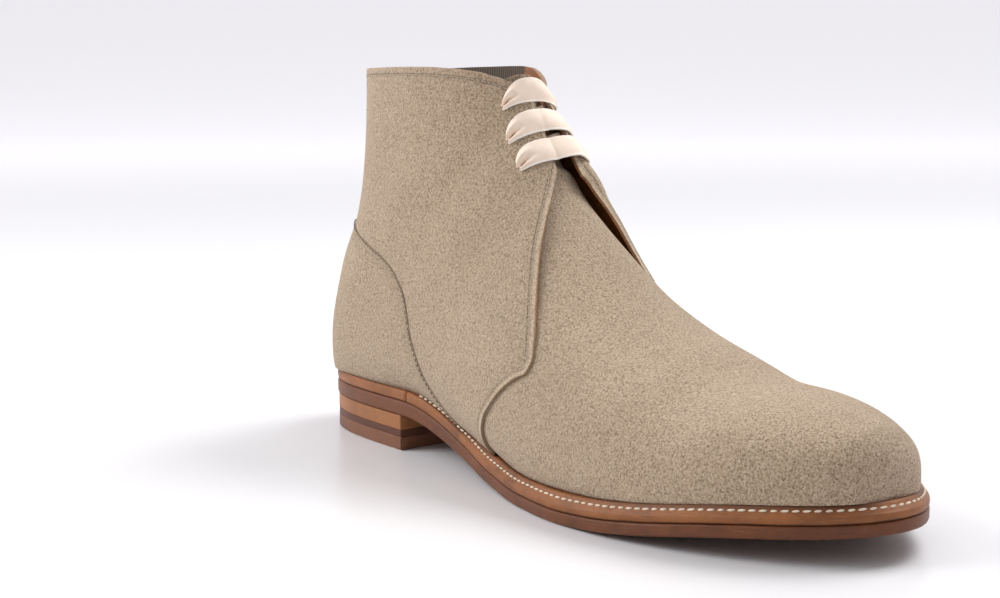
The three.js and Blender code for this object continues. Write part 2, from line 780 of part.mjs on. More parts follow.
// Insole: fills the last's feather line inside the upper, and the hollow inside the welt below it
const lastRows = [
  0, 0.35, 0.8, 1.4, 2.2, 3.2, 4.5, 6, 7.5, 9, 10.2, 11.2, 12.1, 13, 13.4, 13.8, 14.2, 14.6, 15.1, 16,
];
function lastSolid(offset) {
  const points = lastRows.flatMap((row) => vampShares.map((share) => skin(row, share, offset)));
  const triangles = [];
  const count = vampShares.length;
  const end = points.length - count;
  for (let a = 0; a < end; a += count) {
    for (let j = 0; j < count; j++) {
      const next = (j + 1) % count;
      triangles.push([a + j, a + next, a + next + count], [a + j, a + next + count, a + j + count]);
    }
  }
  for (let j = 1; j < count - 1; j++) triangles.push([end, end + j, end + j + 1]);
  return weld(points, triangles);
}
const insoleBottom = (x) => outsoleTop(x) + fit;
const fillerTop = (x) => soleBottom(x) + seatLevel + fit * 2;
const fillerStations = allStations.slice(2, -2);
const filler = slab(fillerStations, insoleBottom, fillerTop, 0.2, weltWidth + fit);
const insole = lastSolid(-liningDepth - insoleRoom)
  .intersect(layer(seatLevel + fit, seatLevel + fit + insoleRise))
  .add(filler);

// Heel: lifts between the outsole and the floor, hollowed at the breast
const breastStation = stationOf(heelBreast);
const heelStations = [...allStations.filter((station) => station < breastStation - 0.2), breastStation];
const level = (height) => () => height;
const lift = (low, high) => slab(heelStations, level(low), level(high), 0.25, heelInset, breastHollow);
const middleLiftBottom = topPieceThickness + fit;
const upperLiftBottom = middleLiftBottom + middleLiftThickness + fit;
const topPiece = lift(0, topPieceThickness);
const middleLift = lift(middleLiftBottom, middleLiftBottom + middleLiftThickness);
const upperLift = lift(upperLiftBottom, heelHeight - fit);

// Lace: one flat ribbon, three bars over the facings joined by hidden crossings behind them
const overFacing = laceRoom + laceThickness / 2;
const underFacing = -facingWall - hiddenRoom - hiddenLaceThickness / 2;
const lacePath = [];
function stop(row, share, height, width, thickness, turn = 0) {
  const { point, up, round, out } = facingFrame(row, share);
  const across = up.clone().multiplyScalar(Math.cos(turn)).addScaledVector(round, Math.sin(turn));
  lacePath.push({ point: point.addScaledVector(out, height), across, width, thickness });
}
const throughHole = (row, share, order) => {
  const depths = [
    overFacing - laceThickness * 0.3,
    -facingWall * 0.2,
    -facingWall * 0.9,
    underFacing + hiddenLaceThickness * 0.2,
  ];
  for (const depth of order > 0 ? depths : depths.reverse()) {
    stop(row, share, depth, throughLaceWidth, laceThickness);
  }
};
const barStops = [
  [0.90, 0.42], [0.80, 0.72], [0.65, 0.95], [0.45, 1.0], [0.2, 1.0],
  [0, 1.0], [-0.2, 1.0], [-0.45, 1.0], [-0.65, 0.95], [-0.80, 0.72], [-0.90, 0.42],
];
const crossingStops = [[-0.84, 0.75], [-0.6, 1], [-0.25, 1], [0.25, 1], [0.6, 1], [0.84, 0.75]];
const tuckShare = 0.03;
eyelets.forEach(([row, ridgeRow, share], index) => {
  if (index === 0) {
    stop(row, share + tuckShare, underFacing, hiddenLaceWidth, hiddenLaceThickness);
    stop(row, share * 1.2, underFacing, hiddenLaceWidth * 0.75, hiddenLaceThickness);
  }
  throughHole(row, share, -1);
  for (const [way, width] of barStops) {
    const at = lerp(ridgeRow, row, way * way);
    stop(at, share * way, overFacing, laceWidth * width, laceThickness);
  }
  throughHole(row, -share, 1);
  const next = eyelets[index + 1];
  if (next) {
    for (const [way, width] of crossingStops) {
      const t = (way + 1) / 2;
      const at = lerp(row, next[0], t);
      const place = lerp(-share, next[2], t);
      stop(at, place, underFacing, hiddenLaceWidth * width, hiddenLaceThickness);
    }
  }
});
// The other hidden end runs up behind the near facing to the top hole
const [topHole, , bottomHole] = eyelets;
const runShare = -(topHole[2] + 0.045);
const runStops = [
  [0.00, -bottomHole[2] * 1.22, 0.75, 0.0],
  [0.04, -bottomHole[2] * 1.40, 1.0, 0.5],
  [0.13, runShare * 0.99, 1.0, 1.1],
  [0.25, runShare, 1.0, 1.571],
  [0.50, runShare, 1.0, 1.571],
  [0.75, runShare, 1.0, 1.571],
  [1.00, runShare, 1.0, 1.571],
];
for (const [way, share, width, turn] of runStops) {
  const at = lerp(bottomHole[0], topHole[0], way);
  stop(at, share, underFacing, hiddenLaceWidth * width, hiddenLaceThickness, turn);
}
const laceRings = lacePath.map(({ point, across, width, thickness }, index) => {
  const before = lacePath[Math.max(index - 1, 0)].point;
  const after = lacePath[Math.min(index + 1, lacePath.length - 1)].point;
  const along = after.clone().sub(before).normalize();
  const side = across.clone().addScaledVector(along, -across.dot(along)).normalize();
  const out = new THREE.Vector3().crossVectors(along, side);
  const half = width / 2;
  const flat = half - thickness / 2;
  const corner = (a, b) => point.clone().addScaledVector(side, a).addScaledVector(out, b);
  return [
    corner(half, 0),
    corner(flat, thickness / 2),
    corner(-flat, thickness / 2),
    corner(-half, 0),
    corner(-flat, -thickness / 2),
    corner(flat, -thickness / 2),
  ];
});
const lace = bar(laceRings);

addPiece('upper', upper, sandSuede, napped);
addPiece('tongue', tongue, shadedSuede, napped);
addPiece('heel_counter', counter, sandSuede, napped);
addPiece('insole', insole, footBedTan, 0.7);
addPiece('welt', welt, weltBrown, polished);
addPiece('heel_seat_rand', seatRand, weltBrown, polished);
addPiece('outsole', outsole, outsoleBrown, polished);
addPiece('heel_lift_upper', upperLift, lightLift, polished);
addPiece('heel_lift_middle', middleLift, darkLift, polished);
addPiece('heel_top_piece', topPiece, topPieceBrown, polished);
addPiece('lace', lace, paleRibbon, 0.8);

// Rest the boot on the origin, with the middle of its footprint there
const bounds = new THREE.Box3().setFromObject(group);
const centre = bounds.getCenter(new THREE.Vector3());
group.position.set(-centre.x, -centre.y, -bounds.min.z);

export default group;
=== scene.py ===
import math

import bmesh
import bpy
import numpy as np
from bpy.props import FloatProperty, FloatVectorProperty, IntProperty, PointerProperty
from mathutils import Matrix, Vector
from mathutils.kdtree import KDTree


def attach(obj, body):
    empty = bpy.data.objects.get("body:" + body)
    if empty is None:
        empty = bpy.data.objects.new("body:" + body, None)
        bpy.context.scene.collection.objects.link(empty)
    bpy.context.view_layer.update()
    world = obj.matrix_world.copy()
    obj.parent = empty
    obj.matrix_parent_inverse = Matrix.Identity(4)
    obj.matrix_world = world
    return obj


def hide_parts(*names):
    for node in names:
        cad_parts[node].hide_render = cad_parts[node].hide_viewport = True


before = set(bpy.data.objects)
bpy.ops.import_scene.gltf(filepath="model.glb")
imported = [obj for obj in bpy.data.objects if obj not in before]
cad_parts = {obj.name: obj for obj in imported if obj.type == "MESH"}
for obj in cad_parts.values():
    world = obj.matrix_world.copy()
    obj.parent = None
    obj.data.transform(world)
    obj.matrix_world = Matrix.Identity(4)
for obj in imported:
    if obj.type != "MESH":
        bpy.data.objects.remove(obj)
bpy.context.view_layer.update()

bl_info = {
    "name": "Suede Chukka Boot",
    "version": (1, 0, 0),
    "blender": (4, 5, 0),
    "location": "3D View > Sidebar > Chukka Boot",
    "description": "Makes a right chukka boot in sand suede on a welted leather sole",
    "category": "Add Mesh",
}

# The last. Lengths are in millimetres, from the back of the heel, the middle of the seat and the floor.
SOLE_LENGTH = 302.0
BALL_WIDTH = 102.5
HEEL_HEIGHT = 14.1
TOE_SPRING = 9.8
UPPER_HEIGHT = 125.3
OUTSOLE_THICKNESS = 5.9
OUTSOLE_FOREPART = 4.4
WELT_THICKNESS = 4.0
WELT_FOREPART = 2.7
WELT_SLOPE = 2.7
WELT_STITCH_STOP = 6.0
THINNING = (85.0, 165.0)
FIT = 0.3
SEAT_LEVEL = OUTSOLE_THICKNESS + FIT + WELT_THICKNESS
LEATHER_FOOT = 0.05
HEEL_BREAST = 76.5
BREAST_HOLLOW = 2.5
HEEL_INSET = 0.5
SEAT_RAND_LENGTH = 81.0
RAND_GAP = 0.3
QUARTER_RISE = 1.3
THROAT_LIFT_NEAR = 1.8
THROAT_LIFT_FAR = 8.0
LIFT_REACH = 30.0
MIDDLE = (-150.42, 0.769, 0.0)

# Each section joins a front or top point to a back or bottom point of the last:
# front x, front z, back x, back z, ridge, base, right and left half width, widest place, crown, root
LAST_SECTIONS = [
    (0.9851, 0.068, 0.9851, 0.044, 0.044, 0.044, 0.000, 0.000, 0.50, 2.20, 2.20),
    (0.9795, 0.122, 0.9801, -0.043, 0.044, 0.044, 0.112, 0.105, 0.55, 2.10, 3.00),
    (0.9636, 0.164, 0.9652, -0.063, 0.044, 0.043, 0.191, 0.181, 0.55, 2.10, 3.00),
    (0.9371, 0.189, 0.9387, -0.075, 0.042, 0.042, 0.269, 0.248, 0.56, 2.10, 3.20),
    (0.8974, 0.220, 0.8990, -0.084, 0.039, 0.039, 0.347, 0.317, 0.58, 2.10, 3.40),
    (0.8444, 0.250, 0.8444, -0.085, 0.034, 0.034, 0.421, 0.384, 0.60, 2.10, 3.60),
    (0.7815, 0.280, 0.7815, -0.079, 0.029, 0.027, 0.470, 0.427, 0.64, 2.00, 3.60),
    (0.7152, 0.350, 0.7086, -0.070, 0.024, 0.020, 0.495, 0.437, 0.67, 1.95, 3.60),
    (0.6407, 0.422, 0.6358, -0.065, 0.024, 0.010, 0.496, 0.417, 0.70, 1.90, 3.50),
    (0.5790, 0.508, 0.5563, -0.064, 0.024, 0.000, 0.478, 0.371, 0.72, 1.85, 2.80),
    (0.5272, 0.595, 0.4702, -0.062, 0.024, -0.008, 0.442, 0.352, 0.72, 1.85, 2.20),
    (0.4829, 0.672, 0.3709, -0.074, 0.021, -0.010, 0.398, 0.319, 0.71, 1.90, 2.05),
    (0.4454, 0.736, 0.2583, -0.084, 0.018, -0.008, 0.358, 0.312, 0.68, 1.95, 2.15),
    (0.4205, 0.812, 0.1288, -0.092, 0.014, -0.004, 0.344, 0.310, 0.66, 2.00, 2.80),
    (0.4023, 0.876, 0.0250, -0.078, 0.010, 0.000, 0.333, 0.303, 0.62, 2.00, 3.00),
    (0.3907, 0.926, 0.0010, 0.075, 0.008, 0.000, 0.321, 0.289, 0.58, 2.05, 2.60),
    (0.3834, 0.966, 0.0030, 0.237, 0.006, 0.000, 0.297, 0.266, 0.54, 2.05, 2.30),
    (0.3791, 1.000, 0.0235, 0.397, 0.004, 0.000, 0.272, 0.238, 0.51, 2.05, 2.10),
    (0.3765, 1.034, 0.0430, 0.564, 0.002, 0.000, 0.262, 0.232, 0.50, 2.05, 2.10),
    (0.3748, 1.069, 0.0546, 0.748, 0.000, 0.000, 0.260, 0.232, 0.50, 2.05, 2.10),
    (0.3742, 1.101, 0.0610, 0.939, 0.000, 0.000, 0.264, 0.238, 0.50, 2.05, 2.10),
    (0.3742, 1.141, 0.0630, 1.091, 0.000, 0.000, 0.268, 0.242, 0.50, 2.05, 2.10),
]
# Share of the length, then right and left half width as shares of the ball's width
SOLE_OUTLINE = [
    (0.0000, 0.000, 0.000), (0.0066, 0.112, 0.112), (0.0265, 0.210, 0.210), (0.0662, 0.288, 0.288),
    (0.1258, 0.327, 0.322), (0.1921, 0.337, 0.327), (0.2583, 0.337, 0.312), (0.3311, 0.337, 0.283),
    (0.4040, 0.361, 0.268), (0.4967, 0.424, 0.312), (0.5894, 0.488, 0.400), (0.6623, 0.513, 0.463),
    (0.7285, 0.502, 0.498), (0.7947, 0.463, 0.498), (0.8543, 0.403, 0.468), (0.9106, 0.315, 0.398),
    (0.9536, 0.214, 0.300), (0.9834, 0.104, 0.194), (0.9967, 0.026, 0.112), (1.0000, -0.040, 0.040),
]
# Share of the length, then shares of the heel's height and of the toe spring
SOLE_PROFILE = [
    (0.0000, 1.000, 0.000), (0.2583, 1.000, 0.000), (0.2980, 0.915, 0.000), (0.3477, 0.681, 0.000),
    (0.4040, 0.426, 0.000), (0.4967, 0.113, 0.000), (0.5894, 0.000, 0.000), (0.6623, 0.000, 0.000),
    (0.7119, 0.000, 0.065), (0.7781, 0.000, 0.265), (0.8278, 0.000, 0.480), (0.8609, 0.000, 0.620),
    (0.9040, 0.000, 0.760), (0.9404, 0.000, 0.840), (0.9735, 0.000, 0.910), (1.0000, 0.000, 1.000),
]
# The quarters' front edge and the vamp's back edge: share of the girth from the ridge, then section row
QUARTER_FRONT = [
    (0.000, 12.60), (0.053, 11.67), (0.113, 11.04), (0.170, 10.54), (0.259, 9.77), (0.333, 9.22),
    (0.378, 9.02), (0.400, 9.02), (0.430, 9.20), (0.488, 9.48), (0.545, 9.67), (0.588, 9.78),
    (0.640, 9.80), (1.000, 9.80),
]
VAMP_BACK = [
    (0.000, 12.55), (0.200, 12.55), (0.260, 12.10), (0.330, 11.00), (0.390, 10.75), (0.450, 10.90),
    (0.550, 11.30), (1.000, 11.40),
]
# Section row, then how far the throat gapes on the near and the far side
THROAT_LIFT = [
    (9.00, 0.00, 0.00), (9.50, 0.25, 0.06), (9.90, 0.55, 0.28), (10.20, 0.75, 0.48), (10.60, 0.90, 0.65),
    (11.00, 1.00, 0.77), (11.50, 1.00, 0.86), (12.00, 1.00, 1.00), (13.00, 0.95, 0.74),
    (14.00, 0.80, 0.52), (15.00, 0.55, 0.30), (16.00, 0.35, 0.15), (18.00, 0.15, 0.06), (21.00, 0.00, 0.00),
]
# Section row of the hole, section row of its bar at the ridge, and share of the girth, from the top down
LACE_HOLES = [(15.70, 16.30, 0.064), (13.95, 14.25, 0.066), (12.86, 13.00, 0.076)]
# Lines in side view: share of the length, then height as a share of the upper's
COLLAR_NEAR = [
    (-0.10, 0.990), (0.063, 0.990), (0.149, 0.997), (0.229, 1.000), (0.285, 0.999), (0.325, 0.993),
    (0.351, 0.984), (0.369, 0.968), (0.381, 0.948), (0.390, 0.925), (0.400, 0.905), (0.500, 0.905),
]
COLLAR_FAR = [
    (-0.10, 0.990), (0.063, 0.990), (0.149, 0.997), (0.229, 1.000), (0.262, 1.000), (0.292, 0.994),
    (0.318, 0.980), (0.340, 0.964), (0.358, 0.950), (0.374, 0.936), (0.388, 0.922), (0.400, 0.910),
    (0.500, 0.905),
]
COUNTER_SEAM = [
    (-0.06, 0.500), (0.060, 0.498), (0.112, 0.484), (0.165, 0.447), (0.230, 0.385), (0.248, 0.355),
    (0.269, 0.307), (0.285, 0.239), (0.294, 0.190), (0.309, 0.136), (0.325, 0.084), (0.343, 0.045),
    (0.372, -0.010), (0.390, -0.060), (0.400, -0.200),
]
# The near side is -1 and the far side 1; each gap is a share of the girth from the ridge to the facing
SIDES = (-1, 1)
FACING_GAPS = {-1: 0.003, 1: 0.030}
THROAT_SHARE = 0.39
LAST_ROW = len(LAST_SECTIONS) - 1


def curve_through(xs, ys):
    """A smooth curve through the values of a table that never swings past them."""
    xs, ys = np.asarray(xs, float), np.asarray(ys, float)
    h = np.diff(xs)
    slope = np.diff(ys) / h
    tangent = np.zeros_like(xs)
    inner = slope[:-1] * slope[1:] > 0
    a, b = 2 * h[1:] + h[:-1], h[1:] + 2 * h[:-1]
    with np.errstate(divide="ignore", invalid="ignore"):
        mean = (a + b) / (a / slope[:-1] + b / slope[1:])
    tangent[1:-1] = np.where(inner, mean, 0)
    for end, s0, s1, h0, h1 in ((0, slope[0], slope[1], h[0], h[1]),
                                (-1, slope[-1], slope[-2], h[-1], h[-2])):
        m = ((2 * h0 + h1) * s0 - h0 * s1) / (h0 + h1)
        if np.sign(m) != np.sign(s0):
            m = 0
        elif np.sign(s0) != np.sign(s1) and abs(m) > 3 * abs(s0):
            m = 3 * s0
        tangent[end] = m

    def read(x):
        at = np.clip(x, xs[0], xs[-1])
        k = np.clip(np.searchsorted(xs, at, side="right") - 1, 0, len(h) - 1)
        t = (at - xs[k]) / h[k]
        return ((2 * t**3 - 3 * t**2 + 1) * ys[k] + (t**3 - 2 * t**2 + t) * h[k] * tangent[k]
                + (3 * t**2 - 2 * t**3) * ys[k + 1] + (t**3 - t**2) * h[k] * tangent[k + 1])
    return read


def column(table, index, key=lambda v: v):
    return curve_through([key(row[0]) for row in table], [row[index] for row in table])


def plan_angle(share):
    return np.arccos(1 - 2 * np.clip(share, 0, 1))


def smooth(x, low, high):
    t = np.clip((np.asarray(x, float) - low) / (high - low), 0, 1)
    return t * t * (3 - 2 * t)


heel_curve, spring_curve = column(SOLE_PROFILE, 1), column(SOLE_PROFILE, 2)
right_curve, left_curve = column(SOLE_OUTLINE, 1, plan_angle), column(SOLE_OUTLINE, 2, plan_angle)
front_row, vamp_end_row = column(QUARTER_FRONT, 1), column(VAMP_BACK, 1)
near_lift, far_lift = column(THROAT_LIFT, 1), column(THROAT_LIFT, 2)
front_table = [row for row in QUARTER_FRONT if row[0] < THROAT_SHARE][::-1]
near_front, far_front = (
    curve_through([r[1] for r in front_table] + [LAST_ROW], [max(r[0], gap) for r in front_table] + [gap])
    for gap in FACING_GAPS.values())


def sole_bottom(x):
    share = np.clip(np.asarray(x, float) / SOLE_LENGTH, 0, 1)
    return heel_curve(share) * HEEL_HEIGHT + spring_curve(share) * TOE_SPRING


def thinned(x, full, fore):
    """A thickness of the sole's edge, which grows thinner from the heel to the forepart."""
    return full + (fore - full) * smooth(x, *THINNING)


def outsole_depth(x):
    return thinned(x, OUTSOLE_THICKNESS, OUTSOLE_FOREPART)


def leather_foot(x):
    """The height at which the leather of the upper ends on the welt."""
    return sole_bottom(x) + SEAT_LEVEL + LEATHER_FOOT


def side_height(share):
    return HEEL_HEIGHT + SEAT_LEVEL + share * UPPER_HEIGHT


# The last's surface as two tables over section rows and shares of the girth: points and outward directions
ROW_STEP, SHARE_STEPS, ANGLES = 0.02, 300, 180
SOFTENING_REACH, SOFTENING_SPREAD, SOFTENING_STARTS = 16, 9.0, (2.0, 3.5)


def last_tables():
    rows = np.arange(0, LAST_ROW + ROW_STEP / 2, ROW_STEP)
    index = np.arange(len(LAST_SECTIONS))
    data = np.array(LAST_SECTIONS)
    ax, az, bx, bz, ridge, base, right, left, widest, crown, root = (
        curve_through(index, data[:, c])(rows)[:, None] for c in range(data.shape[1]))
    a = [ax * SOLE_LENGTH, ridge * BALL_WIDTH, sole_bottom(ax * SOLE_LENGTH) + SEAT_LEVEL + az * UPPER_HEIGHT]
    b = [bx * SOLE_LENGTH, base * BALL_WIDTH, sole_bottom(bx * SOLE_LENGTH) + SEAT_LEVEL + bz * UPPER_HEIGHT]
    angle = np.pi * np.arange(ANGLES + 1)[None, :] / ANGLES
    c, s = np.abs(np.cos(angle)), np.abs(np.sin(angle))
    power = 2 / np.where(angle <= np.pi / 2, crown, root)
    along = np.where(angle <= np.pi / 2, widest * (1 - c**power), widest + (1 - widest) * c**power)
    shares = np.arange(SHARE_STEPS + 1) / SHARE_STEPS
    halves, girths = [], []
    for side, half in ((-1, right), (1, left)):
        across = side * half * BALL_WIDTH * s**power
        line = np.stack([a[k] + (b[k] - a[k]) * along + (across if k == 1 else 0) for k in range(3)], -1)
        step = np.linalg.norm(np.diff(line, axis=1), axis=-1)
        length = np.concatenate([np.zeros((len(rows), 1)), np.cumsum(step, axis=1)], axis=1)
        girths.append(length[:, -1])
        out = np.empty((len(rows), SHARE_STEPS + 1, 3))
        for i in range(len(rows)):
            for k in range(3):
                out[i, :, k] = np.interp(shares * length[i, -1], length[i], line[i, :, k])
        halves.append(out)
    points = np.concatenate([halves[0][:, ::-1], halves[1][:, 1:]], axis=1)
    reach = SOFTENING_REACH
    kernel = np.exp(-0.5 * (np.arange(-reach, reach + 1) / SOFTENING_SPREAD) ** 2)
    kernel /= kernel.sum()
    head = 2 * points[:1] - points[reach:0:-1]
    tail = 2 * points[-1:] - points[-2:-reach - 2:-1]
    long = np.concatenate([head, points, tail])
    soft = sum(kernel[j] * long[j:j + len(rows)] for j in range(2 * reach + 1))
    weight = smooth(rows, *SOFTENING_STARTS)[:, None, None]
    points = points * (1 - weight) + soft * weight
    up = np.gradient(points, axis=0)
    up[2:-2] = points[4:] - points[:-4]
    ring = np.concatenate([points[:, -4:-1], points, points[:, 1:4]], axis=1)
    around = ring[:, 6:] - ring[:, :-6]
    out = np.cross(around, up)
    out /= np.maximum(np.linalg.norm(out, axis=-1, keepdims=True), 1e-9)
    out[:2] = (1, 0, 0)
    return rows, points, out, np.array(girths)


ROWS, POINTS, OUTWARD, GIRTHS = last_tables()


def read_table(table, row, share):
    row = np.clip(row, 0, LAST_ROW - 1e-6) / ROW_STEP
    share = ((np.asarray(share, float) + 1) % 2) * SHARE_STEPS
    share = np.minimum(share, 2 * SHARE_STEPS - 1e-6)
    i, j = row.astype(int), share.astype(int)
    u, v = (row - i)[..., None], (share - j)[..., None]
    i = np.minimum(i, table.shape[0] - 2)
    return ((table[i, j] * (1 - u) + table[i + 1, j] * u) * (1 - v)
            + (table[i, j + 1] * (1 - u) + table[i + 1, j + 1] * u) * v)


def skin(row, share, offset=0.0):
    row, share = np.broadcast_arrays(np.asarray(row, float), np.asarray(share, float))
    out = read_table(OUTWARD, row, share)
    out /= np.linalg.norm(out, axis=-1, keepdims=True)
    return read_table(POINTS, row, share) + out * np.asarray(offset, float)[..., None]


def girth_at(row, share):
    at = np.clip(row, 0, LAST_ROW)
    right = np.interp(at, ROWS, GIRTHS[0])
    left = np.interp(at, ROWS, GIRTHS[1])
    return np.where(share < 0, right, left)


def quarter_offset(row, share):
    """How far the quarters stand off the last: one leather thickness, and more where the throat gapes."""
    row, share = np.broadcast_arrays(np.asarray(row, float), np.asarray(share, float))
    lift = np.where(share < 0, near_lift(row) * THROAT_LIFT_NEAR, far_lift(row) * THROAT_LIFT_FAR)
    edge = np.where(share < 0, near_front(row), far_front(row))
    behind = np.maximum(np.abs(share) - edge, 0) * girth_at(row, share)
    return QUARTER_RISE + lift * (1 - smooth(behind, 0, LIFT_REACH))


def facing(row, share, height=0.0, row_step=0.16, share_step=0.008):
    """A point over the facings, also across the gap between them, and its directions."""
    near, far = -FACING_GAPS[-1], FACING_GAPS[1]

    def spot(r, s):
        t = (s - near) / (far - near)
        bridged = quarter_offset(r, near) * (1 - t) + quarter_offset(r, far) * t
        return skin(r, s, np.where((s > near) & (s < far), bridged, quarter_offset(r, s)))
    row, share = np.broadcast_arrays(np.asarray(row, float), np.asarray(share, float))
    up = spot(row + row_step, share) - spot(row - row_step, share)
    around = spot(row, share + share_step) - spot(row, share - share_step)
    out = np.cross(around, up)
    up, around, out = (v / np.linalg.norm(v, axis=-1, keepdims=True) for v in (up, around, out))
    return spot(row, share) + out * np.asarray(height, float)[..., None], up, around, out


def collar_height(x, share):
    near, far = (np.interp(x, [r[0] * SOLE_LENGTH for r in table], [side_height(r[1]) for r in table])
                 for table in (COLLAR_NEAR, COLLAR_FAR))
    return np.where(share < 0, near, far)


def crossing_row(shares, height, offset, low, high, last):
    """The section row where each column of the leather passes a height."""
    rows = np.arange(low, high, ROW_STEP)
    r, s = np.meshgrid(rows, shares, indexing="ij")
    p = skin(r, s, offset(r, s))
    above = p[..., 2] - height(p[..., 0], s)
    found = np.empty(len(shares))
    for j in range(len(shares)):
        flips = np.nonzero((above[:-1, j] < 0) & (above[1:, j] >= 0))[0]
        if len(flips) == 0:
            found[j] = np.nan
            continue
        k = flips[-1] if last else flips[0]
        found[j] = rows[k] + ROW_STEP * above[k, j] / (above[k, j] - above[k + 1, j])
    return found


def to_frame(points):
    return (np.asarray(points, float) + MIDDLE) / 1000.0


# The edge of the sole, as one line round the shoe, with its outward direction
def edge_line(count=520):
    share = 0.5 - 0.5 * np.cos(np.pi * np.arange(count + 1) / count)
    right = np.stack([share * SOLE_LENGTH, -right_curve(plan_angle(share)) * BALL_WIDTH], -1)
    left = np.stack([share * SOLE_LENGTH, left_curve(plan_angle(share)) * BALL_WIDTH], -1)
    line = np.concatenate([right[:-1], left[:0:-1]])
    ring = np.concatenate([line, line[:1]])
    length = np.concatenate([[0], np.cumsum(np.linalg.norm(np.diff(ring, axis=0), axis=1))])
    return ring, length


EDGE, EDGE_LENGTH = edge_line()
EDGE_GIRTH = EDGE_LENGTH[-1]


def edge_point(at, inset, step=1.5):
    """A point of the sole's edge at a length round it from the back of the heel, moved inwards."""
    def on(s):
        s = np.mod(s, EDGE_GIRTH)
        return np.stack([np.interp(s, EDGE_LENGTH, EDGE[:, k]) for k in range(2)], -1)
    at = np.asarray(at, float)
    along = on(at + step) - on(at - step)
    along /= np.linalg.norm(along, axis=-1, keepdims=True)
    inward = np.stack([-along[..., 1], along[..., 0]], -1)
    return on(at) + inward * np.asarray(inset, float)[..., None]


def edge_length_at(x, left=False):
    half = len(EDGE) // 2
    if left:
        return float(np.interp(-x, -EDGE[half:, 0], EDGE_LENGTH[half:]))
    return float(np.interp(x, EDGE[:half + 1, 0], EDGE_LENGTH[:half + 1]))


def measure(name, description, default, low, high):
    return FloatProperty(name=name, description=description, default=default, min=low, max=high,
                         unit="LENGTH")


class BootSizes(bpy.types.PropertyGroup):
    suede_thickness: measure("Suede thickness", "Thickness of the outer leather", 0.0012, 0.0006, 0.002)
    counter_thickness: measure("Counter thickness", "Thickness of the back panel", 0.0006, 0.0004, 0.002)
    tongue_thickness: measure("Tongue thickness", "Thickness of the tongue", 0.0011, 0.0006, 0.002)
    lining_thickness: measure("Lining thickness", "Thickness of the facing and collar lining",
                              0.0006, 0.0003, 0.0015)
    edge_margin: measure("Edge margin", "From a cut edge to its row of stitches", 0.0024, 0.001, 0.006)
    collar_margin: measure("Collar margin", "From the collar's edge to its row of stitches",
                           0.0029, 0.002, 0.006)
    upper_stitch: measure("Upper stitch", "Pitch of the stitches in the upper", 0.0022, 0.0015, 0.004)
    upper_thread: measure("Upper thread", "Thickness of the thread in the upper", 0.00042, 0.0002, 0.001)
    welt_stitch: measure("Welt stitch", "Pitch of the stitches in the welt", 0.0033, 0.002, 0.006)
    welt_thread: measure("Welt thread", "Thickness of the thread in the welt", 0.0008, 0.0004, 0.0015)
    welt_margin: measure("Welt margin", "From the welt's outer edge to its stitches", 0.00195, 0.001, 0.006)
    ribbon_width: measure("Ribbon width", "Width of the lace where it lies flat", 0.0094, 0.006, 0.014)
    ribbon_thickness: measure("Ribbon thickness", "Thickness of the lace", 0.0007, 0.0004, 0.0015)
    counter_rise: measure("Counter rise", "How far the back panel stands over the quarters",
                          0.0003, 0.0001, 0.001)
    nap_size: measure("Nap size", "Size of the suede's grain", 0.00070, 0.0004, 0.002)
    columns: IntProperty(name="Leather columns", description="Divisions of the leather round each side",
                         default=150, min=60, max=220)
    rows: IntProperty(name="Leather rows", description="Divisions of the leather along the last",
                      default=110, min=50, max=180)


def colour(name, description, default):
    return FloatVectorProperty(name=name, description=description, default=default, size=3, min=0, max=1,
                               subtype="COLOR")


class BootColours(bpy.types.PropertyGroup):
    suede: colour("Suede", "Sand suede of the upper", (0.530, 0.398, 0.272))
    suede_shade: colour("Suede shade", "Nap brushed the other way", (0.420, 0.300, 0.200))
    # Also painted as shade in the stitch channels and along the counter's seam.
    suede_pit_and_shade: colour("Suede pit", "Dark between the fibres", (0.150, 0.090, 0.050))
    suede_tip: colour("Suede tip", "Light tips of the fibres", (0.760, 0.610, 0.460))
    cut_edge: colour("Cut edge", "Cut edge of the suede", (0.340, 0.235, 0.150))
    thread: colour("Thread", "Thread in the upper", (0.600, 0.480, 0.350))
    seam_thread: colour("Seam thread", "Thread of the back panel's seam", (0.150, 0.105, 0.070))
    ribbon: colour("Ribbon", "Silky ribbon of the lace", (0.930, 0.760, 0.620))
    ribbon_edge: colour("Ribbon edge", "Woven edge of the ribbon", (0.990, 0.940, 0.860))
    tan_lining: colour("Tan lining", "Leather lining of the facings", (0.300, 0.110, 0.030))
    dark_lining: colour("Dark lining", "Ribbed lining of the quarters", (0.110, 0.082, 0.062))
    welt: colour("Welt", "Welt leather", (0.300, 0.105, 0.030))
    # Also painted as shade on the welt at the upper's foot and in its groove.
    welt_stain_and_shade: colour("Welt stain", "Dark stain of the welt", (0.060, 0.022, 0.010))
    welt_light: colour("Welt burnish", "Rubbed light places of the welt", (0.620, 0.330, 0.150))
    outsole: colour("Outsole edge", "Edge of the outsole", (0.165, 0.050, 0.016))
    light_lift: colour("Light lift", "Light heel lift", (0.360, 0.140, 0.050))
    dark_lift: colour("Dark lift", "Dark heel lift", (0.110, 0.034, 0.014))
    top_lift: colour("Top piece", "Lowest heel layer", (0.215, 0.085, 0.042))
    welt_thread: colour("Welt thread", "Pale thread of the welt", (0.800, 0.690, 0.540))
    footbed: colour("Foot bed", "Leather under the foot", (0.430, 0.250, 0.120))


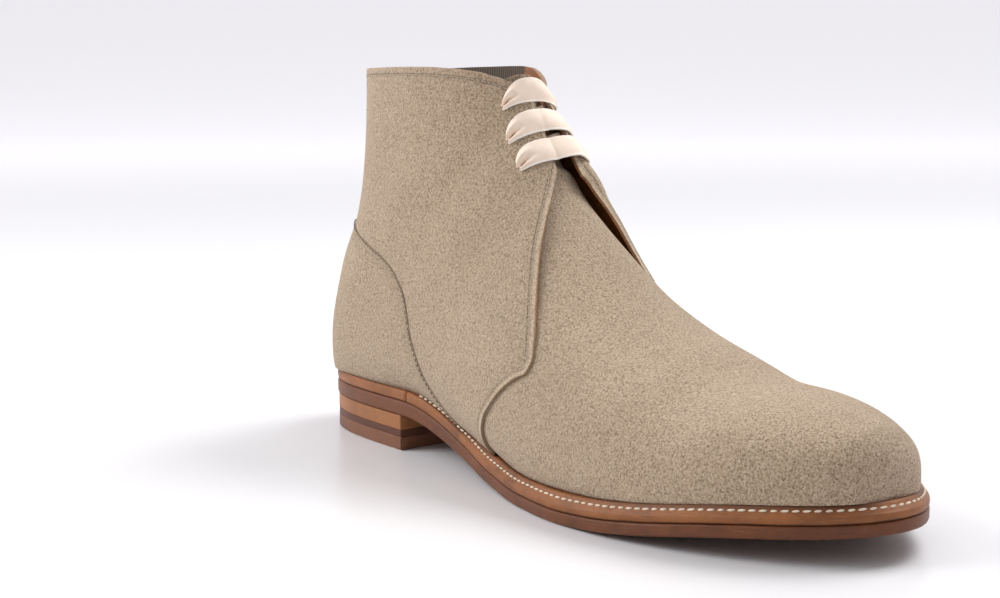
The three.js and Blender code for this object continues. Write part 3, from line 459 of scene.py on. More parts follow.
class StudioSettings(bpy.types.PropertyGroup):
    floor: colour("Floor", "Pale studio floor", (0.80, 0.795, 0.81))
    floor_shade: colour("Floor shade", "Soft patches of the floor", (0.78, 0.78, 0.80))
    far_glow: colour("Far glow", "Light of the floor and the backdrop far behind", (0.32, 0.315, 0.33))
    sky: FloatProperty(name="Room light", description="Strength of the light from all round", default=0.57,
                       min=0)
    key: FloatProperty(name="Key light", description="Power of the large light overhead", default=15.0, min=0,
                       unit="POWER")
    fill: FloatProperty(name="Fill light", description="Power of the light from the left", default=15.0,
                        min=0, unit="POWER")
    lens: FloatProperty(name="Lens", description="Focal length", default=64.04, min=20, max=200,
                        unit="CAMERA")


def sizes():
    return bpy.context.scene.boot_sizes


def colours():
    return bpy.context.scene.boot_colours


# Materials


def rgba(value):
    return (*value[:3], 1.0)


class Nodes:
    """Short ways to add and join the nodes of one tree."""

    def __init__(self, tree):
        self.tree = tree

    def add(self, kind, **settings):
        node = self.tree.nodes.new(kind)
        for key, value in settings.items():
            setattr(node, key, value)
        return node

    def put(self, socket, value):
        if isinstance(value, bpy.types.NodeSocket):
            self.tree.links.new(value, socket)
        else:
            socket.default_value = value

    def math(self, operation, a, b=0.0, clamp=False):
        node = self.add("ShaderNodeMath", operation=operation, use_clamp=clamp)
        self.put(node.inputs[0], a)
        self.put(node.inputs[1], b)
        return node.outputs[0]

    def times(self, a, b):
        return self.math("MULTIPLY", a, b)

    def weighed(self, a, share_a, b, share_b):
        """Two patterns added, each with its share."""
        return self.math("ADD", self.times(a, share_a), self.times(b, share_b))

    def span(self, value, low, high, to_low=0.0, to_high=1.0):
        node = self.add("ShaderNodeMapRange", interpolation_type="SMOOTHSTEP")
        for socket, v in zip(node.inputs[:5], (value, low, high, to_low, to_high)):
            self.put(socket, v)
        return node.outputs[0]

    def mix(self, factor, a, b):
        node = self.add("ShaderNodeMix", data_type="RGBA")
        for socket, v in ((node.inputs[0], factor), (node.inputs[6], a), (node.inputs[7], b)):
            self.put(socket, v)
        return node.outputs[2]

    def over(self, base, mask, amount, tone):
        """A colour laid over another by an amount, where the mask is."""
        return self.mix(self.times(mask, amount), base, tone)

    def noise(self, vector, scale, detail=2.0, roughness=0.5, distortion=0.0):
        node = self.add("ShaderNodeTexNoise")
        for name, value in (("Vector", vector), ("Scale", scale), ("Detail", detail),
                            ("Roughness", roughness), ("Distortion", distortion)):
            self.put(node.inputs[name], value)
        return node.outputs["Fac"]

    def scaled(self, vector, scale):
        mapping = self.add("ShaderNodeMapping")
        self.put(mapping.inputs["Vector"], vector)
        mapping.inputs["Scale"].default_value = scale
        return mapping.outputs[0]

    def place(self, scale=(1000, 1000, 1000)):
        """Object coordinates, in millimetres unless another scale is given."""
        return self.scaled(self.add("ShaderNodeTexCoord").outputs["Object"], scale)

    def attribute(self, name):
        return self.add("ShaderNodeAttribute", attribute_name=name).outputs["Fac"]


def group(name, inputs, outputs):
    found = bpy.data.node_groups.get(name)
    if found:
        return found, None, None, None
    tree = bpy.data.node_groups.new(name, "ShaderNodeTree")
    for label, kind, default in inputs:
        socket = tree.interface.new_socket(name=label, in_out="INPUT", socket_type=kind)
        socket.default_value = default
    for label, kind in outputs:
        tree.interface.new_socket(name=label, in_out="OUTPUT", socket_type=kind)
    n = Nodes(tree)
    return tree, n, n.add("NodeGroupInput").outputs, n.add("NodeGroupOutput").inputs


COLOR, NUMBER = "NodeSocketColor", "NodeSocketFloat"
WELT_LEATHER = "Welt leather"


def nap_group():
    """Brushed suede: patches of nap lying differently, a fine pebbled grain, dark pits and light tips."""
    tree, n, given, out = group("Suede nap", [
        ("Colour", COLOR, (0.5, 0.4, 0.3, 1)), ("Shade", COLOR, (0.4, 0.3, 0.2, 1)),
        ("Pit", COLOR, (0.1, 0.07, 0.04, 1)), ("Tip", COLOR, (0.8, 0.6, 0.5, 1)),
        ("Grain per mm", NUMBER, 1.2), ("Contrast", NUMBER, 1.0),
    ], [("Color", COLOR), ("Height", NUMBER)])
    if n is None:
        return tree
    p = n.place()
    fine = n.noise(p, given["Grain per mm"], 2.0, 0.55, 0.6)
    finer = n.noise(p, n.times(given["Grain per mm"], 2.3), 1.0, 0.5)
    grain = n.weighed(fine, 0.72, finer, 0.28)
    patch = n.span(n.noise(p, 0.022, 2.0, 0.55, 0.4), 0.38, 0.66)
    streak = n.span(n.noise(p, 0.11, 3.0, 0.6), 0.35, 0.70)
    base = n.over(given["Colour"], patch, 0.30, given["Shade"])
    base = n.over(base, streak, 0.12, given["Shade"])
    pit = n.times(n.span(grain, 0.38, 0.50, 1.0, 0.0), given["Contrast"])
    tip = n.times(n.span(grain, 0.50, 0.62), given["Contrast"])
    base = n.over(base, pit, 0.62, given["Pit"])
    base = n.over(base, tip, 0.52, given["Tip"])
    n.put(out["Color"], base)
    n.put(out["Height"], n.weighed(grain, 0.9, streak, 0.10))
    return tree


def fibre_group():
    """Burnished sole leather: layers along the edge, dark stain in places, rubbed light streaks, pores."""
    tree, n, given, out = group("Layered leather", [
        ("Colour", COLOR, (0.3, 0.15, 0.05, 1)), ("Stain", COLOR, (0.05, 0.02, 0.01, 1)),
        ("Burnish", COLOR, (0.6, 0.35, 0.15, 1)), ("Stain Amount", NUMBER, 0.5),
        ("Burnish Amount", NUMBER, 0.4), ("Seed", NUMBER, 0.0),
    ], [("Color", COLOR), ("Roughness", NUMBER), ("Height", NUMBER)])
    if n is None:
        return tree
    p = n.place()
    shift = n.add("ShaderNodeVectorMath", operation="ADD")
    n.put(shift.inputs[0], p)
    n.put(shift.inputs[1], given["Seed"])
    q = shift.outputs[0]
    strands = n.noise(n.scaled(q, (0.10, 0.10, 2.6)), 1.0, 4.0, 0.65, 0.3)
    threads = n.noise(n.scaled(q, (0.45, 0.45, 6.0)), 1.0, 3.0, 0.6)
    cloud = n.noise(q, 0.055, 3.0, 0.6, 0.8)
    stain = n.times(n.span(n.weighed(cloud, 0.6, strands, 0.4), 0.46, 0.66), given["Stain Amount"])
    light = n.times(n.span(n.weighed(strands, 0.7, threads, 0.3), 0.50, 0.72), given["Burnish Amount"])
    base = n.mix(light, given["Colour"], given["Burnish"])
    base = n.mix(stain, base, given["Stain"])
    pores = n.span(n.noise(q, 2.4, 2.0, 0.6), 0.30, 0.42, 1.0, 0.0)
    base = n.over(base, pores, 0.35, given["Stain"])
    n.put(out["Color"], base)
    n.put(out["Roughness"], n.math("ADD", 0.36, n.times(strands, 0.22)))
    n.put(out["Height"], n.weighed(threads, 0.7, pores, -0.3))
    return tree


def new_material(name):
    found = bpy.data.materials.get(name)
    if found:
        return found, None, None
    material = bpy.data.materials.new(name)
    material.use_nodes = True
    n = Nodes(material.node_tree)
    shader = material.node_tree.nodes["Principled BSDF"]
    return material, n, shader


def bump(n, shader, height, distance):
    node = n.add("ShaderNodeBump")
    node.inputs["Strength"].default_value = 1.0
    node.inputs["Distance"].default_value = distance
    n.put(node.inputs["Height"], height)
    n.put(shader.inputs["Normal"], node.outputs[0])


def set_inputs(node, values):
    for name, value in values.items():
        node.inputs[name].default_value = value


def tones(value, factor):
    return rgba([v * factor for v in value])


def suede_material(name="Sand suede", margins=True, contrast=1.0, shade=1.0):
    """Suede with a pressed band, from attributes that say how far each place is from the edges; painted shade
    darkens its stitch channels, the counter's seam and the panel's side of that seam.
    """
    material, n, shader = new_material(name)
    if n is None:
        return material
    c, s = colours(), sizes()
    nap = n.add("ShaderNodeGroup")
    nap.node_tree = nap_group()
    # shade darkens all the suede's colours; below 1 it is painted shade.
    set_inputs(nap, {
        "Colour": tones(c.suede, shade), "Shade": tones(c.suede_shade, shade), "Pit": rgba(c.suede_pit_and_shade),
        "Tip": tones(c.suede_tip, shade), "Grain per mm": 0.001 / s.nap_size, "Contrast": contrast,
    })
    base, height = nap.outputs["Color"], nap.outputs["Height"]
    if margins:
        edge = n.attribute("edge_distance")
        collar = n.attribute("collar_distance")
        seam = n.attribute("seam_distance")
        e, k = s.edge_margin * 1000, s.collar_margin * 1000
        band = n.span(edge, e - 0.2, e + 0.9, 1.0, 0.0)
        ridge = n.times(n.span(edge, 0.1, 0.6), n.span(edge, e - 1.1, e - 0.3, 1.0, 0.0))
        # Painted shade: the stitch channels along the cut edge and along the collar are darkened with the pit
        # colour.
        channel = n.times(n.span(edge, e - 0.75, e), n.span(edge, e, e + 0.9, 1.0, 0.0))
        rim_channel = n.times(n.span(collar, k - 0.7, k), n.span(collar, k, k + 0.8, 1.0, 0.0))
        rim = n.span(collar, 0.2, 1.1, 1.0, 0.0)
        # Painted shade: a dark line in the counter's seam groove, and the panel's side of the seam darker
        # towards it.
        seam_line = n.span(n.math("ABSOLUTE", seam), 0.15, 0.75, 1.0, 0.0)
        painted_seam_shade = n.times(n.span(seam, -9.0, -0.3), n.span(seam, -0.2, 0.3, 1.0, 0.0))
        for mask, amount, tone in (
            (ridge, 0.13, c.suede_tip), (band, 0.04, c.suede_tip), (channel, 0.20, c.suede_pit_and_shade),
            (rim_channel, 0.22, c.suede_pit_and_shade), (rim, 0.14, c.suede_tip), (seam_line, 0.55, c.suede_pit_and_shade),
            (painted_seam_shade, 0.22, c.suede_pit_and_shade),
        ):
            base = n.over(base, mask, amount, rgba(tone))
        calm = n.math("SUBTRACT", 1.0, n.times(ridge, 0.55))
        grooves = n.math("ADD", n.math("ADD", channel, rim_channel), seam_line, clamp=True)
        height = n.math("SUBTRACT", n.times(height, calm), n.times(grooves, 0.55))
    n.put(shader.inputs["Base Color"], base)
    set_inputs(shader, {
        "Roughness": 0.95, "Specular IOR Level": 0.18, "Sheen Weight": 0.35, "Sheen Roughness": 0.45,
        "Sheen Tint": (0.95, 0.88, 0.80, 1),
    })
    bump(n, shader, height, 0.0016)
    return material


def plain_material(name, value, roughness=0.7, grain=1.6, depth=0.0002, variation=0.25):
    material, n, shader = new_material(name)
    if n is None:
        return material
    p = n.place()
    fine = n.noise(p, grain, 3.0, 0.6)
    slow = n.noise(p, 0.08, 2.0, 0.5)
    dark = tones(value, 1 - variation)
    light = rgba([min(v * (1 + variation * 0.6), 1) for v in value])
    base = n.mix(n.span(fine, 0.35, 0.65), dark, light)
    base = n.over(base, n.span(slow, 0.4, 0.6), 0.3, dark)
    n.put(shader.inputs["Base Color"], base)
    shader.inputs["Roughness"].default_value = roughness
    bump(n, shader, fine, depth)
    return material


def cut_edge_material():
    return plain_material("Cut suede edge", colours().cut_edge, 0.9, 2.0, 0.0002, 0.3)


def tan_material():
    return plain_material("Tan facing lining", colours().tan_lining, 0.5, 0.9, 0.0001, 0.35)


def ribbed_material():
    """Dark ribbed cloth of the inside."""
    material, n, shader = new_material("Ribbed lining")
    if n is None:
        return material
    c = colours()
    ribs = n.add("ShaderNodeTexWave", wave_type="BANDS", bands_direction="X")
    n.put(ribs.inputs["Vector"], n.place((1000, 1000, 0)))
    set_inputs(ribs, {"Scale": 0.21, "Distortion": 0.3})
    fuzz = n.noise(n.place(), 2.0, 2.0, 0.6)
    base = n.mix(ribs.outputs["Fac"], tones(c.dark_lining, 0.55), tones(c.dark_lining, 1.5))
    base = n.over(base, fuzz, 0.4, rgba(c.dark_lining))
    n.put(shader.inputs["Base Color"], base)
    shader.inputs["Roughness"].default_value = 0.9
    bump(n, shader, n.math("ADD", ribs.outputs["Fac"], n.times(fuzz, 0.4)), 0.0003)
    return material


def sole_material(name, value, stain, burnish, seed):
    """Layered sole leather; the welt's leather also gets painted shade at the upper's foot and in its groove.
    """
    material, n, shader = new_material(name)
    if n is None:
        return material
    c = colours()
    leather = n.add("ShaderNodeGroup")
    leather.node_tree = fibre_group()
    rubbed = rgba([min(v * 1.2 + 0.02, 1) * 0.5 + w * 0.5 for v, w in zip(value, c.welt_light)])
    set_inputs(leather, {
        "Colour": rgba(value), "Stain": rgba(c.welt_stain_and_shade), "Burnish": rubbed, "Stain Amount": stain,
        "Burnish Amount": burnish, "Seed": seed,
    })
    base = leather.outputs["Color"]
    if name == WELT_LEATHER:
        # Painted shade: the welt darkens next to the upper's foot and in the groove between welt and outsole.
        foot = n.attribute("feather_distance")
        groove = n.attribute("groove_distance")
        base = n.over(base, n.span(foot, 0.0, 2.6, 1.0, 0.0), 0.75, rgba(c.welt_stain_and_shade))
        base = n.over(base, n.span(groove, 0.25, 0.75, 1.0, 0.0), 0.75, rgba(c.welt_stain_and_shade))
    n.put(shader.inputs["Base Color"], base)
    n.put(shader.inputs["Roughness"], leather.outputs["Roughness"])
    set_inputs(shader, {"Specular IOR Level": 0.30, "Coat Weight": 0.05, "Coat Roughness": 0.3})
    bump(n, shader, leather.outputs["Height"], 0.00022)
    return material


def ribbon_material():
    """Silky flat ribbon: a fine cross weave, pale woven edges."""
    material, n, shader = new_material("Silk ribbon")
    if n is None:
        return material
    c = colours()
    across = n.attribute("across")
    along = n.attribute("along")
    weave = n.math("SINE", n.times(along, 2 * math.pi / 0.55))
    selvedge = n.span(n.math("ABSOLUTE", across), 0.80, 0.93)
    low_edge = n.span(across, -0.97, -0.80, 1.0, 0.0)
    soft = n.noise(n.place(), 0.25, 2.0, 0.5)
    base = n.over(rgba(c.ribbon), n.span(soft, 0.35, 0.65), 0.35, tones(c.ribbon, 0.86))
    base = n.over(base, selvedge, 0.45, rgba(c.ribbon_edge))
    base = n.over(base, low_edge, 0.65, rgba(c.ribbon_edge))
    base = n.over(base, n.math("ADD", weave, 1.0), 0.015, tones(c.ribbon, 0.6))
    n.put(shader.inputs["Base Color"], base)
    set_inputs(shader, {
        "Roughness": 0.55, "Specular IOR Level": 0.35, "Sheen Weight": 0.4, "Sheen Roughness": 0.4,
    })
    bump(n, shader, n.math("ADD", n.times(weave, 0.12), selvedge), 0.00008)
    return material


# Modelling helpers
SEAT_MIDDLE, VAMP_MIDDLE = (110.0, 0.0, 60.0), (210.0, 0.0, 20.0)
# The value of a distance that plays no part, in millimetres, and how near points are merged, in metres
FAR_AWAY = 60.0
POINT_MERGE, GRID_MERGE, SEAM_MERGE = 0.000005, 0.00004, 0.00006


def laid_grid(columns, rows, place):
    """A flat grid of leather drawn over the last: place gets shares from 0 to 1 and gives millimetres."""
    mesh = bmesh.new()
    bmesh.ops.create_grid(mesh, x_segments=columns, y_segments=rows, size=0.5)
    mesh.verts.ensure_lookup_table()
    flat = np.array([v.co for v in mesh.verts])
    points = to_frame(place(flat[:, 0] + 0.5, flat[:, 1] + 0.5))
    for vert, point in zip(mesh.verts, points):
        vert.co = point
    return mesh


def face_out(mesh, inside):
    """Turns the faces of an open sheet away from a point inside the boot."""
    mesh.normal_update()
    centre = Vector(to_frame(inside))
    wrong = sum(1 if f.normal.dot(f.calc_center_median() - centre) < 0 else -1 for f in mesh.faces)
    if wrong > 0:
        bmesh.ops.reverse_faces(mesh, faces=mesh.faces)
    mesh.normal_update()


def tree_of(points):
    tree = KDTree(len(points))
    for index, point in enumerate(points):
        tree.insert(point, index)
    tree.balance()
    return tree


def distances(mesh, name, line, sign=1):
    """Keeps how far each vertex is from a line of points, in millimetres."""
    tree = tree_of(to_frame(line))
    layer = mesh.verts.layers.float.get(name) or mesh.verts.layers.float.new(name)
    for vert in mesh.verts:
        vert[layer] = sign * min(tree.find(vert.co)[2] * 1000, FAR_AWAY)


def constant_layers(mesh, names, value):
    for name in names:
        layer = mesh.verts.layers.float.get(name) or mesh.verts.layers.float.new(name)
        for vert in mesh.verts:
            vert[layer] = value


def finished(name, mesh, materials, replaces=(), closed=False):
    if closed:
        bmesh.ops.recalc_face_normals(mesh, faces=mesh.faces)
    data = bpy.data.meshes.new(name)
    for face in mesh.faces:
        face.smooth = True
    mesh.to_mesh(data)
    mesh.free()
    piece = bpy.data.objects.new(name, data)
    for material in materials:
        data.materials.append(material)
    bpy.context.scene.collection.objects.link(piece)
    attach(piece, "root")
    if replaces:
        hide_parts(*replaces)
    return piece


def walled(piece, thickness, rim_offset=0, inner_offset=0, roundness=0.0):
    """Gives a sheet its thickness inwards, and rounds its cut edges."""
    wall = piece.modifiers.new("Wall", "SOLIDIFY")
    wall.thickness = thickness
    wall.offset = -1
    wall.use_even_offset = False
    wall.use_quality_normals = True
    wall.material_offset = inner_offset
    wall.material_offset_rim = rim_offset
    if roundness > 0:
        soft = piece.modifiers.new("Soft edges", "BEVEL")
        soft.width = roundness
        soft.segments = 3
        soft.limit_method = "ANGLE"
        soft.angle_limit = math.radians(50)
        soft.profile = 0.5
        soft.material = -1


def merge(mesh, distance):
    bmesh.ops.remove_doubles(mesh, verts=mesh.verts, dist=distance)


def joined(parts):
    """One mesh from several."""
    whole = bmesh.new()
    for part in parts:
        data = bpy.data.meshes.new("part")
        part.to_mesh(data)
        part.free()
        whole.from_mesh(data)
        bpy.data.meshes.remove(data)
    return whole


def both_sides(sheet):
    """One mesh from a sheet for each side, joined at the middle of the back."""
    parts = []
    for side in SIDES:
        mesh = sheet(side)
        merge(mesh, POINT_MERGE)
        face_out(mesh, SEAT_MIDDLE)
        parts.append(mesh)
    whole = joined(parts)
    merge(whole, SEAM_MERGE)
    return whole


def line_length(line):
    return np.concatenate([[0], np.cumsum(np.linalg.norm(np.diff(line, axis=0), axis=1))])


def stitch_row(mesh, line, outward, pitch, thickness, fill, sink=0.42, skew=0.0):
    """Adds a row of small stitches: each is an egg of thread along the line, pressed into the leather."""
    line, outward = np.asarray(line, float), np.asarray(outward)
    length = line_length(line)
    count = max(int(length[-1] / (pitch * 1000)), 1)

    def read(values, s):
        return np.array([np.interp(s, length, values[:, i]) for i in range(3)])
    for k in range(count):
        at = (k + 0.5) * length[-1] / count
        along = read(line, at + 0.4) - read(line, at - 0.4)
        along /= max(np.linalg.norm(along), 1e-9)
        out = read(outward, at)
        out -= along * np.dot(out, along)
        out /= max(np.linalg.norm(out), 1e-9)
        side = np.cross(out, along)
        if skew:
            along = along + side * skew
            along /= np.linalg.norm(along)
            side = np.cross(out, along)
        wobble = 1 + 0.10 * math.sin(k * 2.7) + 0.06 * math.sin(k * 5.1)
        half = pitch * fill / 2 * wobble
        place = Matrix((
            (*(along * half), 0), (*(side * thickness * 0.55), 0), (*(out * thickness * 0.55), 0),
            (0, 0, 0, 1),
        )).transposed()
        place.translation = Vector(to_frame(read(line, at)) + out * thickness * (0.5 - sink))
        bmesh.ops.create_uvsphere(mesh, u_segments=6, v_segments=5, radius=1.0,
                                  matrix=place @ Matrix.Rotation(math.pi / 2, 4, "Y"))


# Lines on the leather that several pieces share


def quarter_limits(shares):
    """First and last section row of each column of the quarters."""
    side = np.asarray(shares, float)
    top = crossing_row(side, collar_height, quarter_offset, 13.5, LAST_ROW, False)
    floor = crossing_row(side, lambda x, s: leather_foot(x), quarter_offset, 9.0, 15.5, True)
    front = front_row(np.abs(side))
    low = np.where(np.isnan(floor), front, np.maximum(front, floor))
    top = np.where(np.isnan(top), LAST_ROW, top)
    return low, top


def feather_share(side):
    """Share of the girth where the quarters' front edge meets the welt."""
    shares = np.linspace(0.45, 0.98, 400)
    rows = front_row(shares)
    p = skin(rows, side * shares, quarter_offset(rows, side * shares))
    above = p[:, 2] - leather_foot(p[:, 0])
    k = int(np.nonzero(above < 0)[0][0])
    return float(shares[k])


FEATHER = {side: feather_share(side) for side in SIDES}


def quarter_columns(side, count=160):
    """Shares of the girth across a quarter, with the first and last section row of each."""
    shares = np.unique(np.concatenate([np.linspace(FACING_GAPS[side], FEATHER[side], count),
                                       np.linspace(FEATHER[side], 1.0, count)]))
    return (shares, *quarter_limits(side * shares))


QUARTER_COLUMNS = {side: quarter_columns(side) for side in SIDES}


def quarter_row(side, share, v):
    """Section row at a share v of the way from the quarters' front or bottom edge to the collar."""
    shares, low, top = QUARTER_COLUMNS[side]
    a = np.interp(share, shares, low)
    b = np.interp(share, shares, top)
    return a + (b - a) * v


def with_normal(row, share, offset, row_step=0.08, share_step=0.004):
    p = skin(row, share, offset)
    up = skin(row + row_step, share, offset) - skin(row - row_step, share, offset)
    around = skin(row, share + share_step, offset) - skin(row, share - share_step, offset)
    out = np.cross(around, up)
    return p, out / np.linalg.norm(out, axis=-1, keepdims=True)


def quarter_point(side, share, v, extra=0.0):
    row = quarter_row(side, share, v)
    return skin(row, side * share, quarter_offset(row, side * share) + extra)


def front_edge_line(side, count=500):
    """The quarters' cut edge from the welt up the front, round the throat corner and up the facing."""
    gap = FACING_GAPS[side]
    share = np.linspace(FEATHER[side], gap, count)
    low = quarter_point(side, share, np.zeros(count))
    up = quarter_point(side, np.full(count, gap), np.linspace(0, 1, count))
    return np.concatenate([low, up[1:]])


def collar_line(side, count=400):
    share = np.linspace(FACING_GAPS[side], 1.0, count)
    return quarter_point(side, share, np.ones(count))


def inset_line(side, margin, kind, steps=240):
    """A line on the quarters a fixed distance inside their front edge or collar, and its directions."""
    front = kind == "front"
    edge, other = (front_edge_line(side), collar_line(side))[::1 if front else -1]
    tree, rest = tree_of(edge), tree_of(other)
    gap = FACING_GAPS[side]
    if front:
        tracks = [(s, None) for s in np.linspace(FEATHER[side] + 0.028, gap + 0.03, 220)]
        tracks += [(None, v) for v in np.linspace(0.12, 1.0, 160)]
    else:
        tracks = [(s, None) for s in np.linspace(gap, 1.0, 300)]
    found, normal = [], []
    for share, v in tracks:
        if v is None:
            at, level = np.full(steps, share), np.linspace(0 if front else 1, 0.5, steps)
        else:
            at, level = np.linspace(gap, 0.25, steps), np.full(steps, v)
        p = quarter_point(side, at, level)
        hit = np.nonzero(np.array([tree.find(q)[2] for q in p]) >= margin)[0]
        if len(hit) == 0 or rest.find(p[hit[0]])[2] < margin * 0.9:
            continue
        k = hit[0]
        row = quarter_row(side, at[k], level[k])
        q, out = with_normal(row, side * at[k], quarter_offset(row, side * at[k]))
        if found and np.linalg.norm(q - found[-1]) < 0.25:
            continue
        found.append(q)
        normal.append(out)
    return np.array(found), np.array(normal)


def seam_curve(table, count=260):
    """A seam given in side view as one smooth line: its x and its z."""
    xs = np.array([r[0] for r in table]) * SOLE_LENGTH
    zs = side_height(np.array([r[1] for r in table]))
    length = np.concatenate([[0], np.cumsum(np.hypot(np.diff(xs), np.diff(zs)))])
    s = np.linspace(0, length[-1], count)
    return curve_through(length, xs)(s), curve_through(length, zs)(s)


SEAM_X, SEAM_Z = seam_curve(COUNTER_SEAM)


def counter_seam_points(side):
    """The counter's seam on one side, from the back's middle to the welt: points, rows and shares."""
    rows = np.linspace(10.4, 18.4, 800)
    shares = np.linspace(0.35, 1.0, 900)
    r, s = np.meshgrid(rows, shares, indexing="ij")
    p = skin(r, side * s, QUARTER_RISE)
    inside = np.interp(-p[..., 2], -SEAM_Z, SEAM_X) - p[..., 0]
    place = []
    for i in range(len(rows)):
        flips = np.nonzero((inside[i, :-1] < 0) & (inside[i, 1:] >= 0))[0]
        if len(flips) == 0:
            continue
        k = flips[-1]
        share = shares[k] + (shares[1] - shares[0]) * inside[i, k] / (inside[i, k] - inside[i, k + 1])
        q = skin(rows[i], side * share, QUARTER_RISE)
        if q[2] > leather_foot(q[0]):
            place.append((rows[i], share))
    place = np.array(place)[::-1]
    top = place[0, 0] + (1 - place[0, 1]) * (place[0, 0] - place[6, 0]) / max(place[0, 1] - place[6, 1], 1e-6)
    place = np.concatenate([[[min(max(top, place[0, 0]), 18.6), 1.0]], place])
    return skin(place[:, 0], side * place[:, 1], QUARTER_RISE), place * (1, side)


def leather_sheet(side, columns, rows, extra=0.0):
    """One side of the quarters as an open sheet."""
    front, low = int(columns * 0.60), FACING_GAPS[side]
    ends = FEATHER[side]

    def place(u, v):
        split = front / columns
        share = np.where(u < split, low + (ends - low) * (u / split) ** 1.15,
                         ends + (1 - ends) * np.clip((u - split) / (1 - split), 0, 1))
        return quarter_point(side, share, v, extra)
    return laid_grid(columns, rows, place)


# Where the tan lining of the facings meets the ribbed one: x at a height z, and its lean
LINING_SEAM_X, LINING_SEAM_Z, LINING_SEAM_LEAN = 82, 150, 0.05
HOLE_RADIUS = 0.0014


class MakeQuarters(bpy.types.Operator):
    """Both quarters in suede, with their pressed edges, facing lining and ribbed lining"""
    bl_idname = "boot.make_quarters"
    bl_label = "Quarters"

    def execute(self, context):
        s = sizes()
        mesh = both_sides(lambda side: leather_sheet(side, s.columns, s.rows))
        edges, collars = (np.concatenate([line(side) for side in SIDES])
                          for line in (front_edge_line, collar_line))
        distances(mesh, "edge_distance", edges)
        distances(mesh, "collar_distance", collars)
        constant_layers(mesh, ["seam_distance"], FAR_AWAY)
        shape_quarters(mesh)
        roll_far_facing(mesh)
        holes(mesh)
        cut, tan = cut_edge_material(), tan_material()
        piece = finished("quarters", mesh, [suede_material(), cut, tan], replaces=["upper"])
        walled(piece, s.suede_thickness, rim_offset=1, inner_offset=2, roundness=0.00032)

        inwards = -(s.suede_thickness * 1000 + 0.02)
        mesh = both_sides(lambda side: leather_sheet(side, s.columns * 2 // 3, s.rows // 2, inwards))
        for face in mesh.faces:
            at = face.calc_center_median() * 1000 - Vector(MIDDLE)
            in_front = at.x > LINING_SEAM_X + (at.z - LINING_SEAM_Z) * LINING_SEAM_LEAN
            face.material_index = 0 if in_front else 1
        distances(mesh, "edge_distance", edges)
        roll_far_facing(mesh)
        holes(mesh)
        piece = finished("lining", mesh, [tan, ribbed_material()])
        walled(piece, s.lining_thickness, roundness=0.00015)
        return {"FINISHED"}


def holes(mesh, radius=HOLE_RADIUS):
    """Opens the lace holes: the few faces round each hole are taken out and their rim is made round."""
    for row, _, share in LACE_HOLES:
        for side in SIDES:
            point, _, _, out = facing(row, side * share)
            centre, out = Vector(to_frame(point)), Vector(out)
            near = [v for v in mesh.verts if (v.co - centre).length < radius * 1.05]
            if not near:
                continue
            flat = [v for v in near
                    if ((v.co - centre) - out * (v.co - centre).dot(out)).length < radius * 0.95]
            faces = {f for v in (flat or near) for f in v.link_faces}
            bmesh.ops.delete(mesh, geom=list(faces), context="FACES")
            rim = [v for v in mesh.verts if v.is_boundary and (v.co - centre).length < radius * 2.2]
            for v in rim:
                off = v.co - centre
                depth = out * off.dot(out)
                plane = off - depth
                if plane.length > 1e-6:
                    v.co = centre + depth + plane.normalized() * radius


# The heights between which the roll of the far facing grows and fades
ROLL_GROWS, ROLL_FADES = (55.0, 80.0), (112.0, 128.0)


def facing_roll(height, from_edge, reach=9.0, depth=3.4):
    """How far the far facing rolls in along its cut edge, so that its outside shows from the front."""
    inside = np.clip(1 - np.asarray(from_edge, float) / reach, 0, 1) ** 2
    return inside * depth * smooth(height, *ROLL_GROWS) * (1.0 - smooth(height, *ROLL_FADES))


def roll_far_facing(mesh):
    edge = mesh.verts.layers.float["edge_distance"]
    mesh.normal_update()
    for vert in mesh.verts:
        at = vert.co * 1000 - Vector(MIDDLE)
        if at.y > 0 and at.z > 45 and at.x > 120:
            vert.co -= vert.normal * float(facing_roll(at.z, vert[edge])) * 0.001


# Soft troughs and ridges: x, side, z, reach along and across in mm, lean in degrees, depth in mm
QUARTER_FOLDS = [
    (96.0, -1, 96.0, 26.0, 7.0, 62, -0.45),
    (86.0, -1, 90.0, 24.0, 6.0, 70, 0.35),
    (58.0, -1, 104.0, 30.0, 9.0, 80, -0.40),
    (44.0, -1, 96.0, 28.0, 8.0, 84, 0.30),
    (118.0, -1, 66.0, 22.0, 7.0, 50, -0.35),
    (70.0, 1, 100.0, 28.0, 8.0, 75, -0.40),
    (96.0, 1, 92.0, 24.0, 7.0, 60, -0.35),
]


def shape_quarters(mesh):
    """Lays the ankle's bend, the hollow over the counter and the pull of the laces in the quarters."""
    mesh.normal_update()
    for vert in mesh.verts:
        at = vert.co * 1000 - Vector(MIDDLE)
        move = 0.0
        for x, side, z, long, wide, lean, depth in QUARTER_FOLDS:
            if at.y * side < 0:
                continue
            a = math.radians(lean)
            dx, dz = at.x - x, at.z - z
            along = dx * math.cos(a) + dz * math.sin(a)
            across = -dx * math.sin(a) + dz * math.cos(a)
            move += depth * math.exp(-(along / long) ** 2 - (across / wide) ** 2)
        vert.co += vert.normal * move * 0.001


